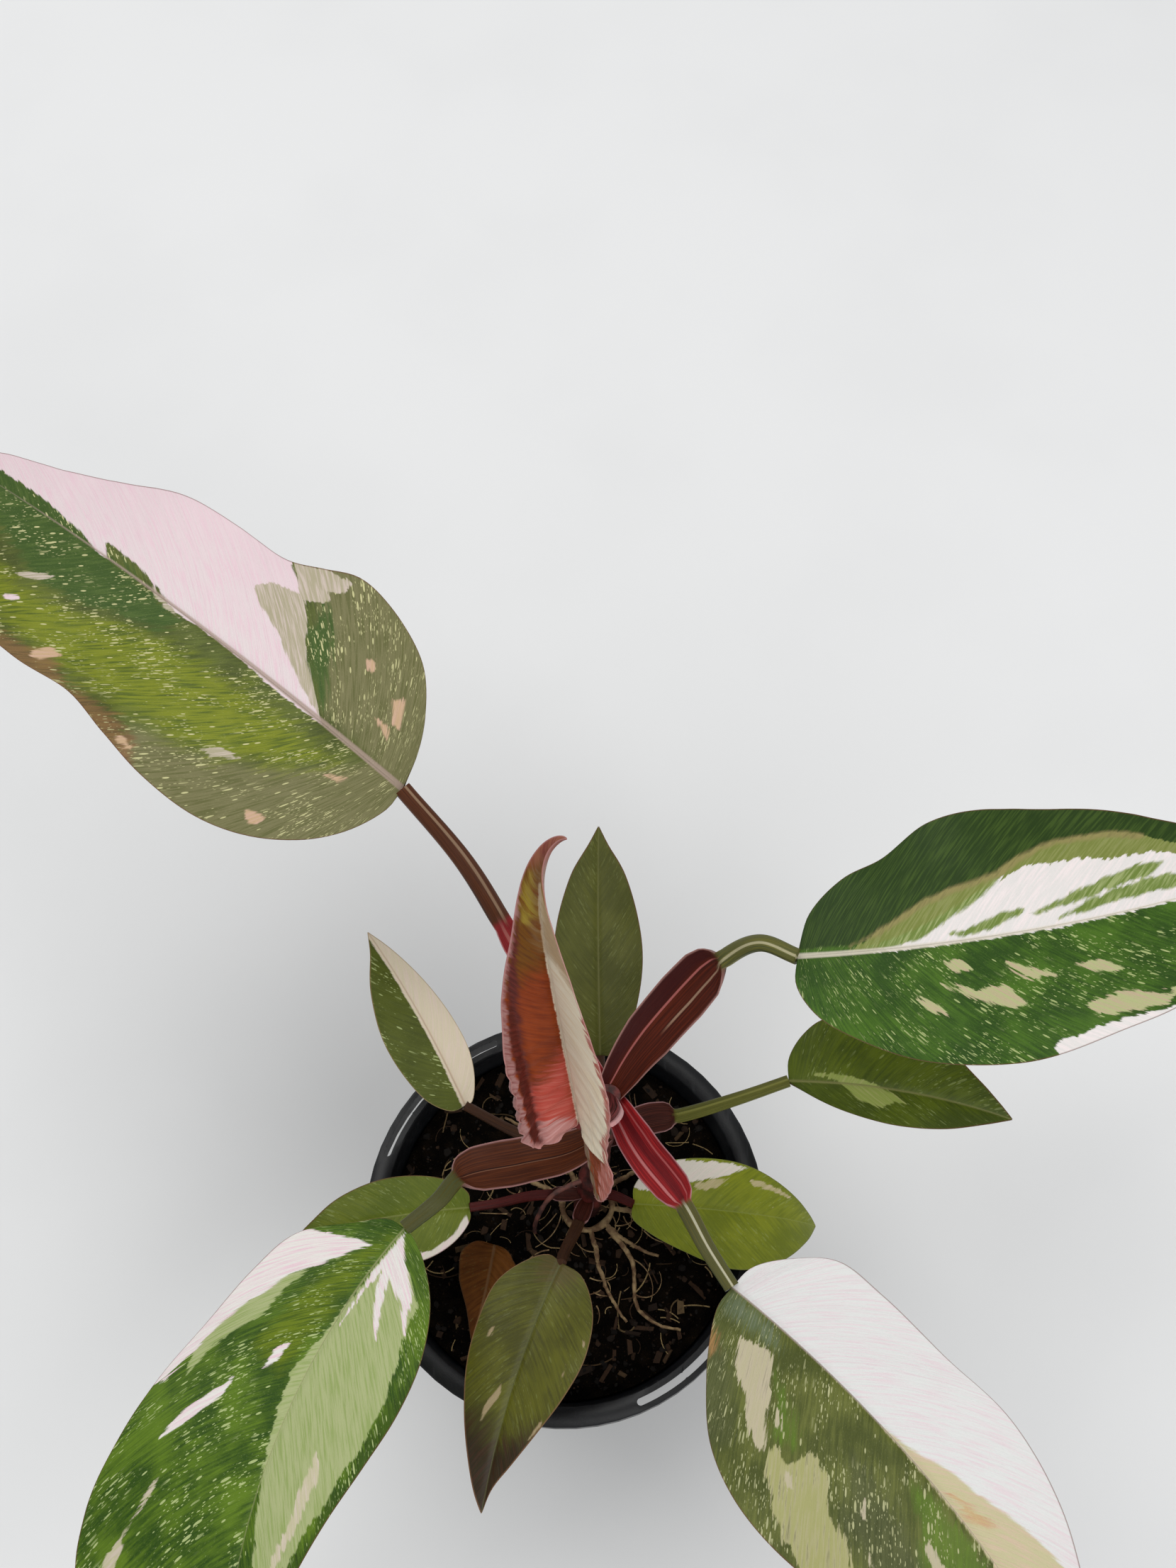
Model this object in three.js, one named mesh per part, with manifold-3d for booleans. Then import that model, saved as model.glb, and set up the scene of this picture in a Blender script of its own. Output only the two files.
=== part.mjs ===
// A variegated red philodendron in a round nursery pot, in millimetres, +Z up.
// The origin is the centre of the pot's underside. +X is the plant's right and +Y its back.
import * as THREE from 'three';
import { mergeVertices } from 'three/addons/utils/BufferGeometryUtils.js';
import Module from 'manifold-3d';

const wasm = await Module();
wasm.setup();

// Driving dimensions.
const CLEARANCE = 0.3; // between pieces that touch

const POT = {
  height: 95,
  rimRadius: 60,
  mouthRadius: 54,
  footRadius: 41,
  wall: 1.2,
  floor: 1.5,
  rimThickness: 1.3,
  lipDepth: 9,
  lipThickness: 1.4,
  edgeRound: 0.6, // a chamfer
  segments: 60,
};
const SLOT = {
  innerRadius: 56.2,
  outerRadius: 58.3,
  starts: [-70.5, 109.5], // degrees
  cells: [[0, 14.2], [15.4, 32.6], [33.8, 47.6]], // degrees from the start, with a rib between
};
const DRAIN = { count: 8, radius: 4, circle: 29 };
const SOIL = { level: 86, rings: 11, segments: 54, relief: 1.3, mound: 2.5 };

const STEM = {
  path: [[5.5, 0, 62], [6.8, 4, 88], [9.6, 11, 108], [12.6, 18.5, 127], [15.2, 25.5, 145]],
  footRadius: 4.6,
  topRadius: 3.2,
  nodeSpacing: 11,
  nodeSwell: 0.45,
};

const BLADE = {
  steps: 96, // along the midrib, where it is bent
  samples: 16, // across a section, where its angles are added up
  waveLag: 1.3, // radians between the waves of the two halves
  thickness: 0.75,
  ribThickness: 1.1,
  ribSpread: 2.2,
  fan: 1.7, // how far the side veins crowd towards the base of the midrib
  lean: 1.35, // how late each side vein bends towards the tip
};

// Stations along a petiole. The sheath's are [share of the sheath, share of its width, depth of its
// channel], and the stalk's are shares of the stalk.
const SHEATH_STATIONS = [
  [0, 0.5, 1], [0.15, 0.7, 1], [0.4, 0.94, 1], [0.7, 1, 1],
  [0.88, 0.94, 1], [0.96, 0.76, 1], [0.99, 0.5, 0.5],
];
const STALK_STATIONS = [0.02, 0.25, 0.5, 0.75, 1];
const PETIOLE = {
  columns: 4,
  edge: 0.8, // thickness of the sheath's margin
  end: 0.85, // width at the blade, as a share of the width at the sheath
  crown: 0.55, // heights above and below the axis, in radii
  keel: 0.95,
  sheathKeel: 0.6,
  lipCurve: 1.6,
  bore: 0.48, // how far a petiole keeps others off
};

const FINISH = {
  pot: [0x17191d, 0.45],
  soil: [0x1c130e, 0.95],
  root: [0x9a7a4e, 0.8],
  aerialRoot: [0x5d2f26, 0.7],
  stem: [0x4a1418, 0.45],
  oliveStalk: [0x5c6136, 0.45],
  redStalk: [0x6b2b2b, 0.4],
  brownStalk: [0x55382c, 0.45],
  green: [0x33512a, 0.35],
  darkGreen: [0x33401f, 0.35],
  oliveGreen: [0x6f7a3a, 0.38],
  limeGreen: [0x7d8f2c, 0.38],
  pale: [0xe6d5d3, 0.4],
  newLeaf: [0x9c4a36, 0.35],
  deadLeaf: [0x8a4f22, 0.75],
};

// Leaves. The base is where the petiole meets the blade. Heading and sweep turn the midrib about
// +Z, pitch and droop tilt it, all in degrees. A margin's points are [along the midrib, out from it].
// A section's angles rise from the midrib (fold) to the margin (curl), and furl rolls the hem. A high
// late keeps the sweep for the tip.
const FLAT = { fold: 6, curl: -14, furl: 0 };
const LEAVES = [
  {
    name: 'right', finish: FINISH.green, base: [67, 50, 188], heading: -1, sweep: 23, pitch: 2,
    droop: 22, length: 156, halfWidth: 35, rows: 16, columns: 4, wave: [1.2, 46, 20],
    left: {
      ...FLAT,
      margin: [
        [4, 11], [14, 20], [26, 25], [42, 34], [64, 35], [92, 30], [120, 19], [142, 7],
      ],
    },
    right: {
      ...FLAT,
      margin: [
        [-1, 8], [4, 17], [14, 24], [30, 31], [52, 34.5], [78, 31], [96, 28], [118, 19], [140, 8],
      ],
    },
    petiole: {
      path: [
        [16, 27, 142], [24, 36, 150], [36.5, 47, 160], [47.5, 54.5, 171], [58, 55.5, 184],
        [67, 50, 188],
      ],
      radius: 2.5, sheathUntil: 0.65, sheathHalfWidth: 7.6, rise: 2.6, finish: FINISH.oliveStalk,
    },
  },
  {
    name: 'front_right', finish: FINISH.green, base: [44, -31, 166], heading: -42, sweep: -22, pitch: 0,
    droop: 28, length: 152, halfWidth: 38, rows: 16, columns: 4, wave: [1, 52, 120],
    left: {
      ...FLAT,
      margin: [
        [1, 7], [8, 16], [17, 23], [30, 24], [50, 24], [72, 26], [95, 22], [118, 13.5], [138, 5.5],
      ],
    },
    right: {
      ...FLAT,
      margin: [
        [0, 6], [3, 13], [9, 22], [20, 33], [34, 39], [52, 40.5], [74, 37], [96, 29], [120, 17],
        [140, 6],
      ],
    },
    petiole: {
      path: [[16, 25.5, 139.5], [23.5, 8, 151], [33, -8, 161], [38.5, -21, 166], [44, -31, 166]],
      radius: 2.4, sheathUntil: 0.63, sheathHalfWidth: 5.4, rise: 2.2, finish: FINISH.oliveStalk,
    },
  },
  {
    name: 'front_left', finish: FINISH.green, base: [-41, -10, 160], heading: -134, sweep: 46, pitch: 0,
    droop: 26, length: 152, halfWidth: 38, rows: 16, columns: 4, wave: [1, 50, 200],
    left: {
      ...FLAT,
      margin: [
        [0, 3], [4, 11], [12, 19], [26, 25], [42, 26.5], [60, 24], [78, 19.5], [96, 14.5], [114, 9],
        [136, 4],
      ],
    },
    right: {
      ...FLAT,
      margin: [
        [1, 5], [7, 11], [18, 22], [30, 26], [44, 29.5], [60, 35], [76, 39.5], [92, 43], [106, 42],
        [122, 33], [141, 11],
      ],
    },
    petiole: {
      path: [
        [13, 17.5, 130], [3, 11.5, 138], [-10, 8, 146], [-26, 3.5, 155], [-32, -3.5, 160],
        [-41, -10, 160],
      ],
      radius: 2.4, sheathUntil: 0.71, sheathHalfWidth: 6.6, rise: 2, finish: FINISH.oliveStalk,
    },
  },
  {
    name: 'back_left', finish: FINISH.green, base: [-34, 97, 206], heading: 136, sweep: 2, pitch: 4,
    droop: 26, length: 196, halfWidth: 40, rows: 16, columns: 4, wave: [1.6, 58, 60],
    left: {
      ...FLAT,
      margin: [
        [-1, 7], [3, 19], [10, 28], [22, 36], [38, 41], [56, 42], [74, 39.5], [92, 36.5], [112, 38.5],
        [134, 37], [160, 29], [182, 11],
      ],
    },
    right: {
      ...FLAT,
      margin: [
        [3, 9], [9, 19], [20, 30], [36, 36.5], [50, 38], [60, 34], [70, 30], [90, 29.5], [110, 27.5],
        [130, 20.5], [150, 14], [176, 8],
      ],
    },
    petiole: {
      path: [[14, 28, 142], [3.5, 44.5, 158], [-8, 61.5, 180], [-19, 78.5, 198], [-34, 97, 206]],
      radius: 2.7, sheathUntil: 0.58, sheathHalfWidth: 3.8, rise: 1.2, finish: FINISH.redStalk,
    },
  },
  {
    name: 'low_right', finish: FINISH.oliveGreen, base: [67, 29, 132], heading: -5, sweep: -15, pitch: 5,
    droop: 20, length: 66, halfWidth: 20, rows: 11, columns: 3, wave: [0.6, 30, 0],
    left: { ...FLAT, margin: [[0, 6], [4, 13.5], [10, 18.5], [24, 20], [40, 17], [54, 8]] },
    right: { ...FLAT, margin: [[1, 1], [9, 5.5], [18, 8.5], [31, 10.3], [46, 8.5], [58, 4]] },
    petiole: {
      path: [[12.5, 17, 121], [25, 21.5, 124], [35.5, 22, 127], [52, 25, 131], [67, 29, 132]],
      radius: 2, sheathUntil: 0.4, sheathHalfWidth: 4.6, rise: 1.6, finish: FINISH.oliveStalk,
    },
  },
  {
    name: 'low_back_left', finish: FINISH.pale, base: [-26, 28, 130], heading: 112, sweep: 10, pitch: 10,
    droop: 25, length: 62, halfWidth: 13, rows: 11, columns: 3, wave: [0.5, 30, 90],
    left: { ...FLAT, margin: [[0, 4], [5, 9], [14, 12], [28, 13], [44, 9], [55, 3]] },
    right: { ...FLAT, margin: [[0, 2], [5, 5.3], [13, 7.7], [22, 8], [36, 6.5], [52, 3]] },
    petiole: {
      path: [[11, 15, 114], [0, 16.5, 118], [-12.5, 21, 123], [-26, 28, 130]],
      radius: 1.6, sheathUntil: 0.35, sheathHalfWidth: 2.6, rise: 0.8, finish: FINISH.brownStalk,
    },
  },
  {
    name: 'front', finish: FINISH.darkGreen, base: [-1, -17, 125], heading: -119, sweep: 15, pitch: -2,
    droop: 14, length: 71, halfWidth: 17, rows: 11, columns: 3, wave: [0.5, 34, 40],
    left: { ...FLAT, margin: [[1, 7], [9, 14], [22, 16.5], [34, 14.5], [45, 10.5], [56, 5.5], [64, 1.5]] },
    right: {
      ...FLAT,
      margin: [
        [-0.5, 4], [4, 9.5], [12, 14.5], [22, 15.3], [34, 14.2], [46, 11], [58, 6.5], [66, 3],
      ],
    },
    petiole: {
      path: [[7.5, 5, 97], [3.5, -5, 106], [0, -13, 117], [-1, -17, 125]],
      radius: 1.8, sheathUntil: 0.3, sheathHalfWidth: 2.6, rise: 0.6, finish: FINISH.brownStalk,
    },
  },
  {
    name: 'small_right', finish: FINISH.limeGreen, base: [20.5, 0, 112], heading: -8, sweep: 4, pitch: 12,
    droop: 75, length: 66, halfWidth: 17, rows: 11, columns: 3, wave: [0.5, 32, 10],
    left: { ...FLAT, margin: [[0, 5], [5, 11], [15, 14], [30, 14.5], [45, 10.5], [57, 5]] },
    right: { ...FLAT, margin: [[0, 4], [5, 8], [15, 12.5], [30, 16.5], [45, 13.5], [58, 6]] },
    petiole: {
      path: [[9, 6, 100], [15, 3.5, 107], [20.5, 0, 112]],
      radius: 1.5, sheathUntil: 0.4, sheathHalfWidth: 2.2, rise: 0.5, finish: FINISH.redStalk,
    },
  },
  {
    name: 'small_left', finish: FINISH.limeGreen, base: [-27, 1.5, 114], heading: 182, sweep: 5, pitch: 5,
    droop: 25, length: 52, halfWidth: 16, rows: 11, columns: 3, wave: [0.5, 28, 70],
    left: { ...FLAT, margin: [[0, 3.5], [5, 9.5], [14, 13.5], [26, 13.5], [38, 9], [47, 3]] },
    right: { ...FLAT, margin: [[0, 4], [5, 8], [13, 10.5], [25, 11], [38, 8], [47, 3]] },
    petiole: {
      path: [[7, 6, 98], [-9.5, 5, 106], [-19.5, 2.5, 112], [-27, 1.5, 114]],
      radius: 1.5, sheathUntil: 0.3, sheathHalfWidth: 2.2, rise: 0.5, finish: FINISH.redStalk,
    },
  },
  {
    name: 'back', finish: FINISH.oliveGreen, base: [13.5, 39, 135], heading: 88, sweep: -2, pitch: 10,
    droop: 25, length: 72, halfWidth: 13, rows: 11, columns: 3, wave: [0.5, 30, 0],
    left: { ...FLAT, margin: [[0, 4], [5, 8], [14, 11], [27, 13], [40, 12], [55, 8], [65, 3]] },
    right: { ...FLAT, margin: [[0, 4], [5, 8], [14, 11], [27, 13], [40, 12], [55, 8], [65, 3]] },
    petiole: {
      path: [[12.5, 18.5, 123], [13.5, 30.5, 131], [13.5, 39, 135]],
      radius: 1.6, sheathUntil: 0.3, sheathHalfWidth: 2.4, rise: 0.6, finish: FINISH.brownStalk,
    },
  },
  {
    name: 'new', finish: FINISH.newLeaf, base: [7, 11, 180], heading: 99, sweep: -165, late: 8, pitch: 56,
    droop: -8, length: 106, halfWidth: 22, rows: 18, columns: 8, wave: [0, 40, 0],
    left: {
      fold: 8, curl: 20, furl: 260,
      margin: [
        [-0.5, 3.5], [-4, 5.5], [-4, 9], [-1.5, 13], [4, 17], [12, 19], [22, 19.2], [32, 18], [41, 16],
        [50, 13.6], [60, 10.4], [70, 7.2], [80, 5], [90, 3.2], [99, 1.6],
      ],
    },
    right: {
      fold: 66, curl: 6, furl: -20,
      margin: [
        [-5, 0.8], [-12, 1], [-20, 0.8], [-27, 1], [-26.5, 4], [-20, 9], [-12, 13.5], [-8, 14.5],
        [-4, 13.2], [2.5, 14.4], [12.5, 18], [22, 19.6], [35, 18], [51, 13.8], [67, 9.5], [76, 7.4],
        [86, 4.8], [97, 1.6],
      ],
    },
    petiole: {
      path: [[15, 24.5, 145.5], [14, 17, 157], [10.5, 11.5, 170], [7, 11, 180]],
      radius: 1.9, sheathUntil: 0.62, sheathHalfWidth: 4.4, rise: 2.2, faces: [0.3, -1, 0.2],
      finish: FINISH.redStalk,
    },
  },
];
// The petioles are set on the stem from the top of the plant down.
const PETIOLE_ORDER = [
  'new', 'right', 'front_right', 'back_left', 'front_left', 'low_right', 'back', 'low_back_left', 'front',
  'small_right', 'small_left',
];
const DEAD_LEAF = {
  name: 'dead', finish: FINISH.deadLeaf, base: [-21.5, -6.5, 92], heading: -103, sweep: -6, pitch: -6,
  droop: 4, length: 30, halfWidth: 9, rows: 10, columns: 3, wave: [0.9, 13, 0],
  left: { fold: 14, curl: -8, furl: 0, margin: [[1, 4], [6, 8], [13, 8], [22, 5]] },
  right: { fold: 22, curl: 6, furl: 0, margin: [[0, 6], [4, 10], [11, 9], [21, 4]] },
};

const AERIAL_ROOT = { path: [[7, 9, 106], [-3, 5, 105], [-8.5, -1, 97], [-9.5, -5, 82]], radius: 0.8 };
const GROUND_ROOTS = {
  collarRadius: 7.6,
  radius: 0.85,
  count: 7,
  firstHeading: -88,
  spread: 285,
  shortest: 15,
  longest: 30,
  bend: 46,
  wander: 8,
  lift: 0.5,
  seed: 7,
  longRoot: [[11.5, -2.5], [19, -13], [20, -27], [26, -32.5], [33, -34]],
};

// Small helpers.
const radians = THREE.MathUtils.degToRad;
const vector = ([x, y, z]) => new THREE.Vector3(x, y, z);
const smoothstep = (x) => THREE.MathUtils.smoothstep(x, 0, 1);

/** A source of seeded random numbers in 0 to 1. */
function randomFrom(seed) {
  const [factor, step, range] = [1664525, 1013904223, 2 ** 32];
  let state = seed;
  return () => {
    state = (state * factor + step) % range;
    return state / range;
  };
}

// Solids and geometry.
function toSolid(geometry) {
  const bare = geometry.clone();
  bare.deleteAttribute('normal');
  bare.deleteAttribute('uv');
  const merged = mergeVertices(bare, 1e-4);
  const vertProperties = new Float32Array(merged.attributes.position.array);
  const triVerts = new Uint32Array(merged.index.array);
  return new wasm.Manifold(new wasm.Mesh({ numProp: 3, vertProperties, triVerts }));
}

function toGeometry(solid) {
  const mesh = solid.getMesh();
  const geometry = new THREE.BufferGeometry();
  geometry.setAttribute('position', new THREE.BufferAttribute(mesh.vertProperties, 3));
  geometry.setIndex(new THREE.BufferAttribute(mesh.triVerts, 1));
  return geometry;
}

/** The largest body of a solid that a cut may have left in several. */
function largest(solid) {
  return solid.decompose().reduce((best, part) => (part.volume() > best.volume() ? part : best));
}

function fromTriangles(points, triangles) {
  const geometry = new THREE.BufferGeometry().setFromPoints(points);
  geometry.setIndex(triangles);
  return geometry;
}

/** A closed sheet between two grids of points, top[row][column] and bottom[row][column]. */
function slab(top, bottom) {
  const points = [];
  const numbers = new Map();
  const numberOf = (point) => {
    const key = point.toArray().map((value) => value.toFixed(4)).join();
    if (!numbers.has(key)) {
      numbers.set(key, points.push(point) - 1);
    }
    return numbers.get(key);
  };
  const triangles = [];
  const triangle = (...corners) => {
    const numbered = corners.map(numberOf);
    if (new Set(numbered).size === 3) {
      triangles.push(...numbered);
    }
  };
  const quad = (a, b, c, d) => {
    triangle(a, b, c);
    triangle(a, c, d);
  };
  const rows = top.length - 1;
  const columns = top[0].length - 1;
  for (let i = 0; i < rows; i += 1) {
    for (let j = 0; j < columns; j += 1) {
      quad(top[i][j], top[i + 1][j], top[i + 1][j + 1], top[i][j + 1]);
      triangle(bottom[i + 1][j + 1], bottom[i + 1][j], bottom[i][j]);
      triangle(bottom[i][j + 1], bottom[i + 1][j + 1], bottom[i][j]);
    }
    quad(top[i][0], bottom[i][0], bottom[i + 1][0], top[i + 1][0]);
    quad(top[i][columns], top[i + 1][columns], bottom[i + 1][columns], bottom[i][columns]);
  }
  for (let j = 0; j < columns; j += 1) {
    quad(top[0][j], top[0][j + 1], bottom[0][j + 1], bottom[0][j]);
    quad(top[rows][j], bottom[rows][j], bottom[rows][j + 1], top[rows][j + 1]);
  }
  return fromTriangles(points, triangles);
}

/** A round rod along a path, with a radius at each share of its length. */
function rod(path, radiusAt, steps, sides, extra = 0) {
  const curve = new THREE.CatmullRomCurve3(path.map(vector), false, 'centripetal');
  const points = [];
  for (let i = 0; i <= steps; i += 1) {
    const share = i / steps;
    const tangent = curve.getTangentAt(share);
    const side = new THREE.Vector3(0, 1, 0).cross(tangent).normalize();
    const other = tangent.clone().cross(side);
    const centre = curve.getPointAt(share);
    if (i === 0 || i === steps) {
      centre.addScaledVector(tangent, i === 0 ? -extra : extra);
    }
    const radius = radiusAt(share) + extra;
    for (let k = 0; k < sides; k += 1) {
      const angle = (2 * Math.PI * k) / sides;
      points.push(
        centre.clone()
          .addScaledVector(side, radius * Math.cos(angle))
          .addScaledVector(other, radius * Math.sin(angle)),
      );
    }
  }
  const triangles = [];
  for (let i = 0; i < steps; i += 1) {
    for (let k = 0; k < sides; k += 1) {
      const a = i * sides + k;
      const b = i * sides + ((k + 1) % sides);
      triangles.push(a, b, b + sides, a, b + sides, a + sides);
    }
  }
  for (let k = 1; k < sides - 1; k += 1) {
    triangles.push(0, k + 1, k);
    triangles.push(steps * sides, steps * sides + k, steps * sides + k + 1);
  }
  return fromTriangles(points, triangles);
}

// The pot.
function makePot() {
  const { height, rimRadius, mouthRadius, footRadius, wall, floor, edgeRound: round } = POT;
  const lipInner = rimRadius - POT.lipThickness;
  const under = height - POT.rimThickness;
  const profile = [
    [0, 0],
    [footRadius - round, 0],
    [footRadius, round],
    [mouthRadius + wall, under - 1],
    [mouthRadius + wall + 1, under],
    [lipInner, under],
    [lipInner, height - POT.lipDepth],
    [rimRadius, height - POT.lipDepth],
    [rimRadius, height - round],
    [rimRadius - round, height],
    [mouthRadius + round, height],
    [mouthRadius, height - round],
    [footRadius - wall, floor],
    [0, floor],
    [0, 0],
  ].map(([radius, z]) => new THREE.Vector2(radius, z));
  let pot = toSolid(new THREE.LatheGeometry(profile, POT.segments).rotateX(Math.PI / 2));
  for (const start of SLOT.starts) {
    for (const [from, to] of SLOT.cells) {
      pot = pot.subtract(toSolid(slotGeometry(radians(start + from), radians(start + to))));
    }
  }
  for (let k = 0; k < DRAIN.count; k += 1) {
    const angle = (2 * Math.PI * k) / DRAIN.count;
    const hole = new THREE.CylinderGeometry(DRAIN.radius, DRAIN.radius, 4 * floor, 16).rotateX(Math.PI / 2);
    hole.translate(DRAIN.circle * Math.cos(angle), DRAIN.circle * Math.sin(angle), 0);
    pot = pot.subtract(toSolid(hole));
  }
  return pot;
}

/** A curved slot cutter with round ends, through the rim. */
function slotGeometry(from, to) {
  const middle = (SLOT.innerRadius + SLOT.outerRadius) / 2;
  const half = (SLOT.outerRadius - SLOT.innerRadius) / 2;
  const shape = new THREE.Shape();
  shape.absarc(0, 0, SLOT.outerRadius, from, to, false);
  shape.absarc(middle * Math.cos(to), middle * Math.sin(to), half, to, to + Math.PI, false);
  shape.absarc(0, 0, SLOT.innerRadius, to, from, true);
  shape.absarc(middle * Math.cos(from), middle * Math.sin(from), half, from + Math.PI, from, false);
  const depth = 4 * POT.rimThickness;
  const cutter = new THREE.ExtrudeGeometry(shape, { depth, bevelEnabled: false, curveSegments: 5 });
  return cutter.translate(0, 0, POT.height - depth / 2);
}

// The soil.
/** The height of the soil's surface, a low mound with clods. */
function soilHeight(x, y) {
  const share = Math.min(Math.hypot(x, y) / POT.mouthRadius, 1);
  const clods =
    Math.sin(x * 0.31 + 1.1) * Math.sin(y * 0.27 + 0.4) +
    0.6 * Math.sin(x * 0.53 + y * 0.41 + 2) +
    0.4 * Math.sin(x * 0.23 - y * 0.67);
  return SOIL.level + SOIL.mound * (1 - share * share) + (SOIL.relief * clods * (1 - share ** 6)) / 2;
}

function makeSoil() {
  const slope = (POT.mouthRadius - POT.footRadius + POT.wall) / (POT.height - POT.floor);
  const innerRadius = (z) => POT.footRadius - POT.wall + slope * (z - POT.floor) - CLEARANCE;
  const bottom = POT.floor + CLEARANCE;
  const topRadius = innerRadius(SOIL.level) - CLEARANCE;
  const profile = [new THREE.Vector2(0, bottom), new THREE.Vector2(innerRadius(bottom) - CLEARANCE, bottom)];
  for (let ring = SOIL.rings; ring >= 0; ring -= 1) {
    profile.push(new THREE.Vector2((topRadius * ring) / SOIL.rings, SOIL.level));
  }
  profile.push(new THREE.Vector2(0, bottom));
  const lathe = new THREE.LatheGeometry(profile, SOIL.segments).rotateX(Math.PI / 2);
  const position = lathe.attributes.position;
  for (let i = 0; i < position.count; i += 1) {
    if (position.getZ(i) > SOIL.level - 1) {
      position.setZ(i, soilHeight(position.getX(i), position.getY(i)));
    }
  }
  return toSolid(lathe);
}

// Leaf blades.
/** A blade's bent surface, from flat coordinates along the midrib and out from it. */
class BladeSurface {
  constructor(leaf) {
    this.leaf = leaf;
    this.points = [vector(leaf.base)];
    for (let i = 0; i < BLADE.steps; i += 1) {
      const { tangent } = this.directions((i + 0.5) / BLADE.steps);
      this.points.push(this.points[i].clone().addScaledVector(tangent, leaf.length / BLADE.steps));
    }
  }

  /** The directions along the midrib, to its left and up, at a share of its length. */
  directions(share) {
    const { heading, sweep, late = 1, pitch, droop } = this.leaf;
    const within = THREE.MathUtils.clamp(share, 0, 1);
    const turn = radians(heading + sweep * within ** late);
    const rise = radians(pitch - droop * within);
    const tangent = new THREE.Vector3(
      Math.cos(rise) * Math.cos(turn),
      Math.cos(rise) * Math.sin(turn),
      Math.sin(rise),
    );
    const side = new THREE.Vector3(-Math.sin(turn), Math.cos(turn), 0);
    return { tangent, side, normal: tangent.clone().cross(side) };
  }

  /** The point at a distance along the midrib and out from it, positive to the left. */
  at(along, out) {
    const { length, halfWidth, wave } = this.leaf;
    const half = out > 0 ? this.leaf.left : this.leaf.right;
    const share = along / length;
    const place = THREE.MathUtils.clamp(share, 0, 1) * BLADE.steps;
    const index = Math.min(Math.floor(place), BLADE.steps - 1);
    const { tangent, side, normal } = this.directions(share);
    const point = this.points[index].clone().lerp(this.points[index + 1], place - index);
    point.addScaledVector(tangent, Math.min(along, 0) + Math.max(along - length, 0));

    const reach = Math.abs(out) / halfWidth;
    let across = 0;
    let up = 0;
    for (let k = 0; k < BLADE.samples; k += 1) {
      const there = ((k + 0.5) / BLADE.samples) * reach;
      const angle = radians(half.fold + half.curl * there + half.furl * there ** 6);
      across += (Math.cos(angle) * Math.abs(out)) / BLADE.samples;
      up += (Math.sin(angle) * Math.abs(out)) / BLADE.samples;
    }
    const [height, spacing, phase] = wave;
    const lag = out > 0 ? 0 : BLADE.waveLag;
    const ripple = Math.sin((2 * Math.PI * along) / spacing + radians(phase) + lag);
    up += height * ripple * reach * reach;
    return point.addScaledVector(side, across * Math.sign(out)).addScaledVector(normal, up);
  }

  normalAt(along, out) {
    const step = 0.4;
    const forward = this.at(along + step, out).sub(this.at(along - step, out));
    const sideways = this.at(along, out + step).sub(this.at(along, out - step));
    return forward.cross(sideways).normalize();
  }
}

/** Flat coordinates of a blade's grid. Each row runs along a pair of side veins, right to left. */
function bladeGrid(leaf) {
  const edge = (half, sign) => {
    const points = [[0, 0], ...half.margin, [leaf.length, 0]];
    return new THREE.CatmullRomCurve3(
      points.map(([along, out]) => new THREE.Vector3(along, sign * out, 0)), false, 'centripetal',
    );
  };
  const edges = { left: edge(leaf.left, 1), right: edge(leaf.right, -1) };
  const rows = [];
  for (let i = 0; i <= leaf.rows; i += 1) {
    const share = i / leaf.rows;
    const origin = leaf.length * share ** BLADE.fan;
    const row = [];
    for (let j = -leaf.columns; j <= leaf.columns; j += 1) {
      const end = (j > 0 ? edges.left : edges.right).getPointAt(share);
      const reach = Math.abs(j) / leaf.columns;
      row.push([origin + (end.x - origin) * reach ** BLADE.lean, end.y * reach]);
    }
    rows.push(row);
  }
  return rows;
}

function makeBlade(leaf) {
  const surface = new BladeSurface(leaf);
  const top = [];
  const bottom = [];
  for (const row of bladeGrid(leaf)) {
    const upper = row.map(([along, out]) => surface.at(along, out));
    top.push(upper);
    bottom.push(row.map(([along, out], j) => {
      const rib = BLADE.ribThickness * Math.exp(-((out / BLADE.ribSpread) ** 2)) * (1 - along / leaf.length);
      return upper[j].clone().addScaledVector(surface.normalAt(along, out), -(BLADE.thickness + rib));
    }));
  }
  return toSolid(slab(top, bottom));
}

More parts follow.
